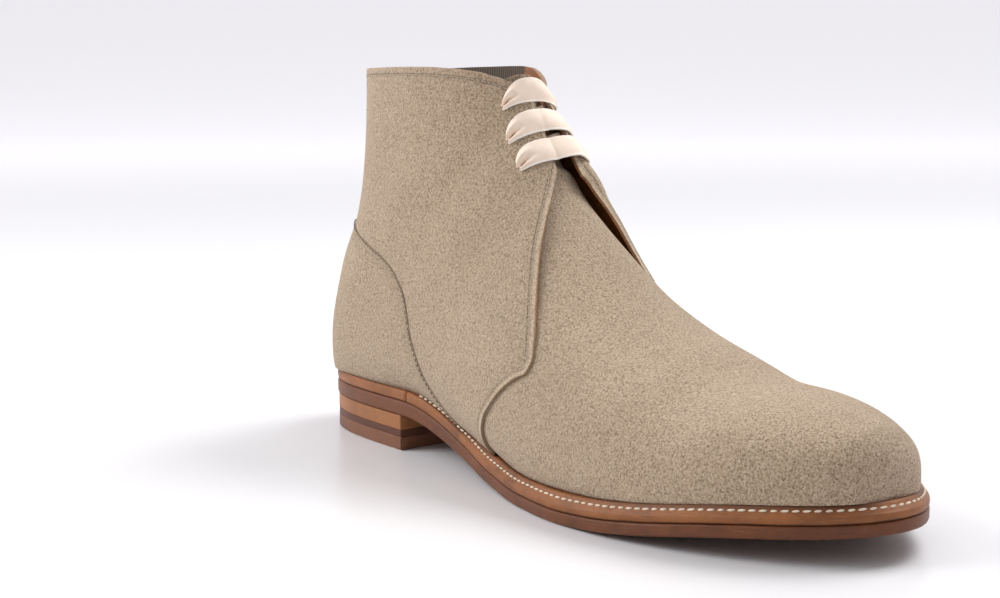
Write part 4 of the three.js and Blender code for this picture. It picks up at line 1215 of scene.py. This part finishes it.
class MakeVamp(bpy.types.Operator):
    """The vamp in suede, from the toe to its back edge under the quarters"""
    bl_idname = "boot.make_vamp"
    bl_label = "Vamp"

    def execute(self, context):
        s = sizes()
        rows, shares = np.arange(0, 12.7, ROW_STEP), np.linspace(0.2, 1, 500)
        floor = {}
        for side in SIDES:
            r, q = np.meshgrid(rows, shares, indexing="ij")
            p = skin(r, side * q)
            above = p[..., 2] - leather_foot(p[..., 0])
            low = above < 0
            k = np.clip(np.where(low.any(axis=1), low.argmax(axis=1), len(shares) - 1), 1, len(shares) - 1)
            i = np.arange(len(rows))
            a, b = above[i, k - 1], above[i, k]
            t = np.clip(a / np.where(np.abs(a - b) < 1e-9, 1, a - b), 0, 1)
            floor[side] = np.where(low.any(axis=1), shares[k - 1] + (shares[k] - shares[k - 1]) * t, 1.0)

        def place(u, v):
            t = u * 2 - 1
            row = vamp_end_row(np.abs(t) * 0.72) * (v ** 1.25)
            right, left = (np.interp(row, rows, floor[side]) for side in SIDES)
            return skin(row, t * np.where(t < 0, right, left))
        mesh = laid_grid(s.columns * 2, s.rows + 10, place)
        merge(mesh, GRID_MERGE)
        face_out(mesh, VAMP_MIDDLE)
        constant_layers(mesh, ["edge_distance", "collar_distance", "seam_distance"], FAR_AWAY)
        piece = finished("vamp", mesh, [suede_material(), cut_edge_material(), tan_material()])
        walled(piece, s.suede_thickness, rim_offset=1, inner_offset=2)
        return {"FINISHED"}


class MakeCounter(bpy.types.Operator):
    """The curved back panel laid over the quarters, with its seam"""
    bl_idname = "boot.make_counter"
    bl_label = "Counter"

    def execute(self, context):
        s, c = sizes(), colours()
        lines = {side: counter_seam_points(side) for side in SIDES}

        def sheet(side):
            seam_row, seam_share = lines[side][1][::-1, 0], np.abs(lines[side][1][::-1, 1])
            ends = np.linspace(0.4, 1.0, 700)
            r, q = np.meshgrid(seam_row, ends, indexing="ij")
            p = skin(r, side * q, QUARTER_RISE)
            below = p[..., 2] < leather_foot(p[..., 0])
            below &= q >= seam_share[:, None]
            end_share = np.where(below.any(axis=1), ends[below.argmax(axis=1)], 1.0)

            def place(u, v):
                row = seam_row[0] + (seam_row[-1] - seam_row[0]) * v
                near = np.interp(row, seam_row, seam_share)
                far = np.maximum(np.interp(row, seam_row, end_share), near)
                return skin(row, side * (near + (far - near) * u), QUARTER_RISE + s.counter_rise * 1000)
            return laid_grid(s.columns * 2 // 3, s.rows * 2 // 3, place)
        mesh = both_sides(sheet)
        distances(mesh, "seam_distance", np.concatenate([lines[side][0] for side in SIDES]), sign=-1)
        constant_layers(mesh, ["edge_distance", "collar_distance"], FAR_AWAY)
        piece = finished("counter", mesh, [suede_material(), cut_edge_material()], replaces=["heel_counter"])
        walled(piece, s.counter_thickness, roundness=0.00022)
        thread = plain_material("Seam thread", c.seam_thread, 0.8, 3.0, 0.0001, 0.3)
        threads = bmesh.new()
        for line, place_on in lines.values():
            _, out = with_normal(place_on[:, 0], place_on[:, 1], QUARTER_RISE)
            inner = line + np.array([-1.0, 0, -0.35]) * 0.9 + out * (s.counter_rise * 1000)
            stitch_row(threads, inner, out, s.upper_stitch, s.upper_thread, 0.62, sink=0.55)
        finished("counter_stitches", threads, [thread], closed=True)
        return {"FINISHED"}


# The tongue: its top edge by share of the girth, its half width and its lowest section row
TONGUE_TOP = curve_through([0.0, 0.10, 0.14, 0.165], [17.9, 17.7, 17.2, 16.6])
TONGUE_HALF, TONGUE_LOW = 0.160, 12.2


class MakeTongue(bpy.types.Operator):
    """The tongue behind the lace"""
    bl_idname = "boot.make_tongue"
    bl_label = "Tongue"

    def execute(self, context):
        def place(u, v):
            share = (u * 2 - 1) * TONGUE_HALF
            row = TONGUE_LOW + (TONGUE_TOP(np.abs(share)) - TONGUE_LOW) * v
            ripple = 0.35 * np.sin(row * 4.1) * (1 - np.abs(share) / 0.17)
            return skin(row, share * (1 - 0.12 * smooth(row, 16.5, 18.5)), -2.05 + ripple * 0.4)
        mesh = laid_grid(60, 80, place)
        face_out(mesh, SEAT_MIDDLE)
        # Painted shade: the tongue is the suede darkened to 0.8, as it lies in shade behind the lace and the
        # facings.
        suede = suede_material("Tongue suede", margins=False, shade=0.8)
        piece = finished("tongue_piece", mesh, [suede, cut_edge_material()], replaces=["tongue"])
        walled(piece, sizes().tongue_thickness, rim_offset=1, roundness=0.0003)
        return {"FINISHED"}


# The small tack at the quarters' front: share of the girth of its middle, then its points round it
TACK_SHARE = 0.378
TACK = [(0.015, 9.62), (-0.004, 9.74), (-0.022, 9.80), (-0.040, 9.72)]


class MakeUpperStitches(bpy.types.Operator):
    """The rows of stitches along the quarters' edges and the collar, and the small tack at the front"""
    bl_idname = "boot.make_upper_stitches"
    bl_label = "Upper stitches"

    def execute(self, context):
        s, c = sizes(), colours()
        thread = plain_material("Sand thread", c.thread, 0.75, 3.0, 0.0001, 0.3)
        mesh = bmesh.new()
        for side in SIDES:
            front, front_out = inset_line(side, s.edge_margin * 1000, "front")
            if side > 0:
                front = front - front_out * facing_roll(front[:, 2], s.edge_margin * 1000)[:, None]
            rows = np.array([t[1] for t in TACK])
            shares = side * np.array([TACK_SHARE + t[0] for t in TACK])
            for line, out, fill in (
                (front, front_out, 0.72),
                (*inset_line(side, s.collar_margin * 1000, "collar"), 0.70),
                (*with_normal(rows, shares, quarter_offset(rows, shares)), 0.72),
            ):
                stitch_row(mesh, line, out, s.upper_stitch, s.upper_thread, fill)
        finished("upper_stitches", mesh, [thread], closed=True)
        return {"FINISHED"}


# The lace's path as stops over the facings: way across from the near hole (-1) to the far one (1),
# then the ribbon's lower and upper edge and its height, as shares of its width and of its rise
RIBBON_STOPS = [
    # way, lower edge, upper edge, lift
    (-1.00, -0.15, 0.15, -0.10),
    (-0.97, -0.20, 0.26, 0.55),
    (-0.90, -0.26, 0.41, 1.15),
    (-0.78, -0.30, 0.54, 1.55),
    (-0.60, -0.36, 0.60, 1.50),
    (-0.35, -0.42, 0.58, 1.20),
    (0.00, -0.46, 0.54, 1.00),
    (0.35, -0.46, 0.54, 1.00),
    (0.60, -0.44, 0.52, 1.15),
    (0.78, -0.38, 0.46, 1.25),
    (0.90, -0.28, 0.34, 1.10),
    (0.97, -0.20, 0.21, 0.60),
    (1.00, -0.15, 0.15, -0.10),
]
RIBBON_UNDER = -2.85
BAR_COLUMNS, BAR_CELLS, BAR_LENGTH = 90, 26, 26


class MakeLace(bpy.types.Operator):
    """The ribbon: three bars over the facings, the crossings behind them, and two hidden ends"""
    bl_idname = "boot.make_lace"
    bl_label = "Lace"

    def execute(self, context):
        s = sizes()
        width = s.ribbon_width * 1000
        stops = np.array(RIBBON_STOPS)
        lower, upper, lift = (curve_through(stops[:, 0], stops[:, k]) for k in (1, 2, 3))
        bars = []
        for number, (row, ridge_row, share) in enumerate(LACE_HOLES):
            seed = number * 1.7

            def place(u, v, row=row, ridge_row=ridge_row, share=share, seed=seed):
                way = np.clip(1.006 * np.sin((u - 0.5) * np.pi) * 0.35 + (u * 2 - 1) * 0.65, -1, 1)
                side = v * 2 - 1
                at_row = ridge_row + (row - ridge_row) * way**2
                base, up, _, out = facing(at_row, share * way * (1 + 0.10 * np.abs(way) ** 6))
                reach = (lower(way) + (upper(way) - lower(way)) * v) * width
                near_hole = smooth(-way, 0.45, 0.98)
                far_hole = smooth(way, 0.55, 0.98)
                crown = 0.55 * (1 - side**2) * (1 - near_hole * 0.3)
                pleat = near_hole * (1.10 * np.exp(-((side - 0.45) / 0.30) ** 2)
                                     - 2.10 * np.exp(-((side + 0.20) / 0.15) ** 2)
                                     + 0.70 * np.exp(-((side + 0.62) / 0.22) ** 2))
                pleat += far_hole * 0.5 * np.cos(side * 5 + seed)
                drift = 0.16 * np.sin(way * 4 + side * 2 + seed)
                height = 0.42 + lift(way) * 0.40 + crown + pleat + drift
                hug = np.where(np.abs(way) > 0.985, -0.9, 0.0)
                return base + up * reach[:, None] + out * (height + hug)[:, None]
            bar = laid_grid(BAR_COLUMNS, BAR_CELLS, place)
            bar.verts.ensure_lookup_table()
            across, along = bar.verts.layers.float.new("across"), bar.verts.layers.float.new("along")
            for index, vert in enumerate(bar.verts):
                vert[across] = (index // (BAR_COLUMNS + 1)) / BAR_CELLS * 2 - 1
                vert[along] = (index % (BAR_COLUMNS + 1)) / BAR_COLUMNS * BAR_LENGTH
            face_out(bar, SEAT_MIDDLE)
            bars.append(bar)
        piece = finished("lace_bars", joined(bars), [ribbon_material()], replaces=["lace"])
        walled(piece, s.ribbon_thickness, roundness=0.0002)

        bands = []
        for path in hidden_paths(RIBBON_UNDER):
            band = laid_grid(len(path["row"]) * 3, 6, ribbon_place(path))
            face_out(band, SEAT_MIDDLE)
            constant_layers(band, ["across", "along"], 0.0)
            bands.append(band)
        piece = finished("lace_crossings", joined(bands), [ribbon_material()])
        walled(piece, s.ribbon_thickness)
        return {"FINISHED"}


def hidden_run(count, **values):
    """A hidden run of ribbon: each value is one number, or one for each of its points."""
    return {name: np.zeros(count) + value for name, value in values.items()}


def hidden_paths(under):
    """The crossings behind the facings, the end that goes up to the top hole, and the runs in the holes."""
    paths = []
    for (row, _, share), (next_row, _, next_share) in zip(LACE_HOLES[:-1], LACE_HOLES[1:]):
        t = np.linspace(0, 1, 15)
        paths.append(hidden_run(15, row=row + (next_row - row) * t, share=share + (-next_share - share) * t,
                                height=under, width=2.0 + 3.0 * np.sin(np.pi * t), turn=0.0))
    (top, _, top_share), (low, _, low_share) = LACE_HOLES[0], LACE_HOLES[-1]
    t = np.linspace(0, 1, 25)
    run = np.interp(t, (0, 0.12, 1), (low_share * 1.2, top_share + 0.045, top_share + 0.045))
    paths.append(hidden_run(25, row=low + (top - low) * t, share=-run, height=under - 0.1, width=5.0,
                            turn=np.pi / 2))
    paths.append(hidden_run(6, row=top, share=top_share + np.linspace(0, 0.035, 6), height=under,
                            width=4.5, turn=0.0))
    for row, _, share in LACE_HOLES:
        for side in SIDES:
            paths.append(hidden_run(5, row=row, share=side * share, height=np.linspace(0.6, under, 5),
                                    width=2.4, turn=0.0))
    return paths


def ribbon_place(path):
    count = len(path["row"])
    index = np.arange(count) / (count - 1)

    def place(u, v):
        row, share, height, width, turn = (np.interp(u, index, path[k])
                                           for k in ("row", "share", "height", "width", "turn"))
        base, up, around, _ = facing(row, share, height)
        wide = up * np.cos(turn)[:, None] + around * np.sin(turn)[:, None]
        return base + wide * ((v - 0.5) * width)[:, None]
    return place


# The sole


def sole_plate(name, outline, bottom, top, edge, materials, replaces, bend=True, cuts=64):
    """A flat plate of leather: its outline cut, given thickness, its edges rounded, then bent to the last."""
    mesh = bmesh.new()
    ring = [mesh.verts.new((x / 1000, y / 1000, bottom / 1000)) for x, y in outline]
    face = mesh.faces.new(ring)
    grown = bmesh.ops.extrude_face_region(mesh, geom=[face])
    moved = [v for v in grown["geom"] if isinstance(v, bmesh.types.BMVert)]
    bmesh.ops.translate(mesh, verts=moved, vec=(0, 0, (top - bottom) / 1000))
    bmesh.ops.recalc_face_normals(mesh, faces=mesh.faces)
    rims = [e for e in mesh.edges if len(e.link_faces) == 2 and abs(e.verts[0].co.z - e.verts[1].co.z) < 1e-7
            and e.calc_face_angle(0) > 0.8]
    bmesh.ops.bevel(mesh, geom=rims, offset=edge / 1000, offset_type="OFFSET", affect="EDGES", segments=3,
                    profile=0.5, material=-1)
    if bend:
        low, high = min(p[0] for p in outline), max(p[0] for p in outline)
        for k in range(1, cuts):
            x = (low + (high - low) * k / cuts) / 1000
            bmesh.ops.bisect_plane(mesh, geom=mesh.verts[:] + mesh.edges[:] + mesh.faces[:], dist=1e-7,
                                   plane_co=(x, 0, 0), plane_no=(1, 0, 0))
        for vert in mesh.verts:
            x = vert.co.x * 1000
            vert.co.z = vert.co.z * float(outsole_depth(x)) / top + float(sole_bottom(x)) / 1000
    for vert in mesh.verts:
        vert.co += Vector(MIDDLE) / 1000
    piece = finished(name, mesh, materials, replaces=replaces, closed=True)
    edges = piece.modifiers.new("Crisp faces", "WEIGHTED_NORMAL")
    edges.keep_sharp = True
    return piece


# The welt's profile: inset, share of the way from the outsole to the rim, then from the rim to the seat,
# and depth in mm
WELT_INNER = 10.8
WELT_PROFILE = np.array([
    (WELT_INNER, 0.0, 0.0, 0.0), (6.0, 0.0, 0.0, 0.0), (0.9, 0.0, 0.0, 0.0), (0.42, 0.0, 0.0, -0.08),
    (0.20, 0.12, 0.0, 0.0), (0.04, 0.30, 0.0, 0.0), (0.0, 0.50, 0.0, 0.0), (0.05, 0.72, 0.0, 0.0),
    (0.20, 0.88, 0.0, 0.0), (0.50, 0.98, 0.0, 0.0), (0.80, 1.0, 0.08, 0.0), (1.20, 1.0, 0.26, 0.0),
    (1.45, 1.0, 0.40, 0.06), (1.75, 1.0, 0.55, 0.30), (2.20, 1.0, 0.74, 0.30), (2.55, 1.0, 0.90, 0.06),
    (3.0, 1.0, 1.0, 0.0), (4.2, 1.0, 1.0, 0.0), (WELT_INNER, 1.0, 1.0, 0.0), (WELT_INNER, 0.0, 0.0, 0.0),
])


def welt_grid(start, end):
    """A band of leather along the sole's edge: its profile run round from one length to another."""
    profile = WELT_PROFILE
    count = len(profile) - 1

    def place(u, v):
        k = np.clip(np.round(v * count).astype(int), 0, count)
        at = start + (end - start) * u
        xy = edge_point(at, profile[k, 0])
        x = xy[:, 0]
        low = outsole_depth(x) + 0.12
        rim = low + 0.18 + thinned(x, WELT_THICKNESS, WELT_FOREPART)
        height = low + (rim - low) * profile[k, 1] + (SEAT_LEVEL - rim) * profile[k, 2] - profile[k, 3]
        return np.stack([x, xy[:, 1], sole_bottom(x) + height], -1)
    mesh = laid_grid(int(abs(end - start) / 2.2), count, place)
    merge(mesh, 0.00001)
    bmesh.ops.holes_fill(mesh, edges=[e for e in mesh.edges if e.is_boundary], sides=0)
    bmesh.ops.recalc_face_normals(mesh, faces=mesh.faces)
    return mesh


def feather_line():
    """Where the upper meets the welt, round the whole shoe."""
    found = []
    for side in SIDES:
        rows = np.linspace(0.2, 14.2, 320)
        shares = np.linspace(0.3, 1, 260)
        r, q = np.meshgrid(rows, shares, indexing="ij")
        p = skin(r, side * q, np.where(r > 9.8, QUARTER_RISE, 0.0))
        above = p[..., 2] - (sole_bottom(p[..., 0]) + SEAT_LEVEL)
        for i in range(len(rows)):
            low = np.nonzero(above[i] < 0)[0]
            if len(low):
                found.append(p[i, low[0]])
    return np.array(found)


class MakeWelt(bpy.types.Operator):
    """The welt with its channel and stitches, and the seat rand behind it"""
    bl_idname = "boot.make_welt"
    bl_label = "Welt"

    def execute(self, context):
        s, c = sizes(), colours()
        start = edge_length_at(SEAT_RAND_LENGTH + RAND_GAP)
        end = edge_length_at(SEAT_RAND_LENGTH + RAND_GAP, left=True)
        feather = feather_line()
        leather = sole_material(WELT_LEATHER, c.welt, 0.55, 0.62, 3.0)
        for name, a, b, node in (("welt_band", start, end, "welt"),
                                 ("seat_rand", end + 2 * RAND_GAP - EDGE_GIRTH, start - 2 * RAND_GAP,
                                  "heel_seat_rand")):
            mesh = welt_grid(a, b)
            distances(mesh, "feather_distance", feather)
            at = np.arange(a, b, 0.7)
            xy = edge_point(at, np.full(len(at), 0.1))
            low = np.stack([xy[:, 0], xy[:, 1], sole_bottom(xy[:, 0]) + outsole_depth(xy[:, 0]) + 0.15], -1)
            distances(mesh, "groove_distance", low)
            finished(name, mesh, [leather], replaces=[node], closed=True)
        margin = s.welt_margin * 1000
        at = np.linspace(start + WELT_STITCH_STOP, end - WELT_STITCH_STOP, 1600)
        xy = edge_point(at, np.full(len(at), margin))
        rim = outsole_depth(xy[:, 0]) + FIT + thinned(xy[:, 0], WELT_THICKNESS, WELT_FOREPART)
        slope = (SEAT_LEVEL - rim) / WELT_SLOPE
        height = rim + slope * (margin - 0.6) - 0.30
        line = np.stack([xy[:, 0], xy[:, 1], sole_bottom(xy[:, 0]) + height], -1)
        outer = edge_point(at, np.full(len(at), margin - 1.0)) - xy
        out = np.stack([outer[:, 0] * slope, outer[:, 1] * slope, np.ones(len(at))], -1)
        out /= np.linalg.norm(out, axis=-1, keepdims=True)
        thread = plain_material("Welt thread", c.welt_thread, 0.7, 3.0, 0.0001, 0.25)
        mesh = bmesh.new()
        stitch_row(mesh, line, out, s.welt_stitch, s.welt_thread, 0.74, sink=0.05, skew=0.10)
        finished("welt_stitches", mesh, [thread], closed=True)
        return {"FINISHED"}


def plan_outline(x_end=None, inset=0.0, hollow=0.0, step=1.6):
    """The sole's outline, or its heel part with a hollow breast."""
    if x_end is None:
        at = np.arange(0, EDGE_GIRTH, step)
        return [tuple(p) for p in edge_point(at, np.full(len(at), inset))]
    a = edge_length_at(x_end)
    b = edge_length_at(x_end, left=True) - EDGE_GIRTH
    at = np.linspace(b, a, int((a - b) / step))
    side = edge_point(at, np.full(len(at), inset))
    first, last = side[-1], side[0]
    t = np.linspace(0, 1, 16)[1:-1]
    way = t * 2 - 1
    breast = np.stack([first[0] + (last[0] - first[0]) * t - hollow * (1 - way**2),
                       first[1] + (last[1] - first[1]) * t], -1)
    return [tuple(p) for p in np.concatenate([side, breast])]


class MakeOutsole(bpy.types.Operator):
    """The outsole"""
    bl_idname = "boot.make_outsole"
    bl_label = "Outsole"

    def execute(self, context):
        c = colours()
        edge = sole_material("Outsole leather", c.outsole, 0.62, 0.42, 11.0)
        sole_plate("outsole_plate", plan_outline(inset=0.05), 0.0, OUTSOLE_THICKNESS, 1.05, [edge],
                   ["outsole"], cuts=90)
        return {"FINISHED"}


# The heel from the floor up: name, lowest and highest level and rounding of the edge in mm, then the
# leather's name, its colour, shares of stain and burnish, and seed, and the solid
HEEL_LAYERS = [
    ("top_piece", 0.0, 5.4, 0.55, "Top piece leather", "top_lift", 0.55, 0.30, 21.0, "heel_top_piece"),
    ("middle_lift", 5.45, 8.1, 0.22, "Dark lift leather", "dark_lift", 0.45, 0.18, 31.0, "heel_lift_middle"),
    ("upper_lift", 8.15, 13.95, 0.25, "Light lift leather", "light_lift", 0.25, 0.62, 41.0,
     "heel_lift_upper"),
]


class MakeHeel(bpy.types.Operator):
    """The stacked heel lifts and the top piece"""
    bl_idname = "boot.make_heel"
    bl_label = "Heel"

    def execute(self, context):
        for number, (name, low, high, edge, look, tone, stain, burnish, seed, node) in enumerate(HEEL_LAYERS):
            outline = plan_outline(HEEL_BREAST, HEEL_INSET + 0.08 * (number % 2), BREAST_HOLLOW, 1.4)
            leather = sole_material(look, getattr(colours(), tone), stain, burnish, seed)
            sole_plate(name, outline, low, high, edge, [leather], [node], bend=False)
        return {"FINISHED"}


class FinishInsole(bpy.types.Operator):
    """Leather for the insole, which keeps its solid"""
    bl_idname = "boot.finish_insole"
    bl_label = "Insole"

    def execute(self, context):
        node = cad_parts["insole"]
        material = plain_material("Foot bed leather", colours().footbed, 0.55, 1.2, 0.0001, 0.2)
        for slot in node.material_slots:
            slot.material = material
        return {"FINISHED"}


CAMERA_PLACE = (0.50986, -0.39415, 0.15088)
CAMERA_TARGET = (-0.12696, 0.05132, 0.04781)
CAMERA_ROLL = math.radians(-0.26)
# The floor in metres: how far it comes forward and goes back, its half width, the curve up and the top
FLOOR_FRONT, FLOOR_BACK, FLOOR_HALF, FLOOR_CURVE, BACKDROP_TOP = 5.0, 2.6, 9.0, 2.0, 7.0
GLOW_STARTS, GLOW_FULL = 0.7, 2.5
# Each lamp's name, place, target and size in metres, and the setting that holds its power
LAMPS = [
    ("Key", (0.05, 0.78, 1.15), (0, 0, 0.05), (0.75, 0.65), "key"),
    ("Fill", (-0.75, -0.95, 0.85), (-0.02, 0, 0.08), (1.0, 0.9), "fill"),
]


def floor_material(studio):
    """Pale floor with a painted glow that grows far away."""
    material, n, shader = new_material("Studio floor")
    if n is None:
        return material
    soft = n.noise(n.place((1, 1, 1)), 3.0, 1.0, 0.5)
    n.put(shader.inputs["Base Color"], n.over(rgba(studio.floor), soft, 0.12, rgba(studio.floor_shade)))
    away = n.add("ShaderNodeVectorMath", operation="LENGTH")
    n.put(away.inputs[0], n.place((1, 1, 1)))
    glow = n.mix(n.span(away.outputs["Value"], GLOW_STARTS, GLOW_FULL), (0, 0, 0, 1), rgba(studio.far_glow))
    n.put(shader.inputs["Emission Color"], glow)
    set_inputs(shader, {"Emission Strength": 1.0, "Roughness": 0.28, "Specular IOR Level": 0.35})
    return material


class SetStage(bpy.types.Operator):
    """Pale floor rising into a backdrop, soft lights and the camera"""
    bl_idname = "boot.set_stage"
    bl_label = "Stage"

    def execute(self, context):
        scene = context.scene
        studio = scene.boot_studio
        camera_data = bpy.data.cameras.new("Camera")
        camera_data.lens = studio.lens
        camera_data.sensor_width = 36.0
        camera_data.sensor_fit = "HORIZONTAL"
        camera_data.clip_start = 0.01
        camera = bpy.data.objects.new("Camera", camera_data)
        scene.collection.objects.link(camera)
        place, target = Vector(CAMERA_PLACE), Vector(CAMERA_TARGET)
        look = (target - place).normalized()
        right = look.cross(Vector((0, 0, 1))).normalized()
        up = right.cross(look)
        a = CAMERA_ROLL
        turned_right = right * math.cos(a) + up * math.sin(a)
        turned_up = up * math.cos(a) - right * math.sin(a)
        turn = Matrix((turned_right, turned_up, -look)).transposed().to_4x4()
        turn.translation = place
        camera.matrix_world = turn
        scene.camera = camera

        mesh = bmesh.new()
        line = [mesh.verts.new((FLOOR_FRONT, 0, 0)), mesh.verts.new((-FLOOR_BACK, 0, 0))]
        mesh.edges.new(line)
        bmesh.ops.spin(mesh, geom=[line[1]], cent=(-FLOOR_BACK, 0, FLOOR_CURVE), axis=(0, 1, 0),
                       dvec=(0, 0, 0), angle=math.pi / 2, steps=24, space=Matrix.Identity(4),
                       use_merge=False)
        mesh.verts.ensure_lookup_table()
        top = max(mesh.verts, key=lambda v: v.co.z - v.co.x * 0.01)
        wall = mesh.verts.new((top.co.x, 0, BACKDROP_TOP))
        mesh.edges.new((top, wall))
        grown = bmesh.ops.extrude_edge_only(mesh, edges=mesh.edges[:])
        moved = [v for v in grown["geom"] if isinstance(v, bmesh.types.BMVert)]
        bmesh.ops.translate(mesh, verts=moved, vec=(0, 2 * FLOOR_HALF, 0))
        bmesh.ops.translate(mesh, verts=mesh.verts, vec=(0, -FLOOR_HALF, 0))
        bmesh.ops.rotate(mesh, verts=mesh.verts, cent=(0, 0, 0),
                         matrix=Matrix.Rotation(math.atan2(-look.y, -look.x), 3, "Z"))
        bmesh.ops.recalc_face_normals(mesh, faces=mesh.faces)
        for face in mesh.faces:
            face.smooth = True
        floor = bpy.data.meshes.new("floor")
        mesh.to_mesh(floor)
        mesh.free()
        stage = bpy.data.objects.new("floor", floor)
        scene.collection.objects.link(stage)
        floor.materials.append(floor_material(studio))

        for name, place, target, size, power in LAMPS:
            data = bpy.data.lights.new(name, "AREA")
            data.shape = "RECTANGLE"
            data.size, data.size_y = size
            data.energy = getattr(studio, power)
            lamp = bpy.data.objects.new(name, data)
            scene.collection.objects.link(lamp)
            way = Vector(target) - Vector(place)
            lamp.matrix_world = Matrix.Translation(place) @ way.to_track_quat("-Z", "Y").to_matrix().to_4x4()
        world = bpy.data.worlds.new("Room")
        world.use_nodes = True
        background = world.node_tree.nodes["Background"]
        background.inputs["Color"].default_value = (0.985, 0.975, 1.0, 1)
        background.inputs["Strength"].default_value = studio.sky
        scene.world = world
        scene.view_settings.view_transform = "Standard"
        return {"FINISHED"}


STEPS = (MakeQuarters, MakeVamp, MakeCounter, MakeTongue, MakeUpperStitches, MakeLace, MakeWelt, MakeOutsole,
         MakeHeel, FinishInsole, SetStage)


class BootPanel(bpy.types.Panel):
    """Lists the boot's pieces, sizes and colours"""
    bl_idname = "VIEW3D_PT_chukka_boot"
    bl_label = "Chukka Boot"
    bl_space_type = "VIEW_3D"
    bl_region_type = "UI"
    bl_category = "Chukka Boot"

    def draw(self, context):
        layout = self.layout
        for step in STEPS:
            layout.operator(step.bl_idname, text=step.bl_label)
        for group_of in (context.scene.boot_sizes, context.scene.boot_colours, context.scene.boot_studio):
            box = layout.box()
            for name in type(group_of).__annotations__:
                box.prop(group_of, name)


CLASSES = (BootSizes, BootColours, StudioSettings, *STEPS, BootPanel)


def register():
    for cls in CLASSES:
        bpy.utils.register_class(cls)
    bpy.types.Scene.boot_sizes = PointerProperty(type=BootSizes)
    bpy.types.Scene.boot_colours = PointerProperty(type=BootColours)
    bpy.types.Scene.boot_studio = PointerProperty(type=StudioSettings)


def unregister():
    del bpy.types.Scene.boot_studio
    del bpy.types.Scene.boot_colours
    del bpy.types.Scene.boot_sizes
    for cls in reversed(CLASSES):
        bpy.utils.unregister_class(cls)


def main():
    register()
    for step in STEPS:
        area, name = step.bl_idname.split(".")
        getattr(getattr(bpy.ops, area), name)()


if __name__ == "__main__":
    main()
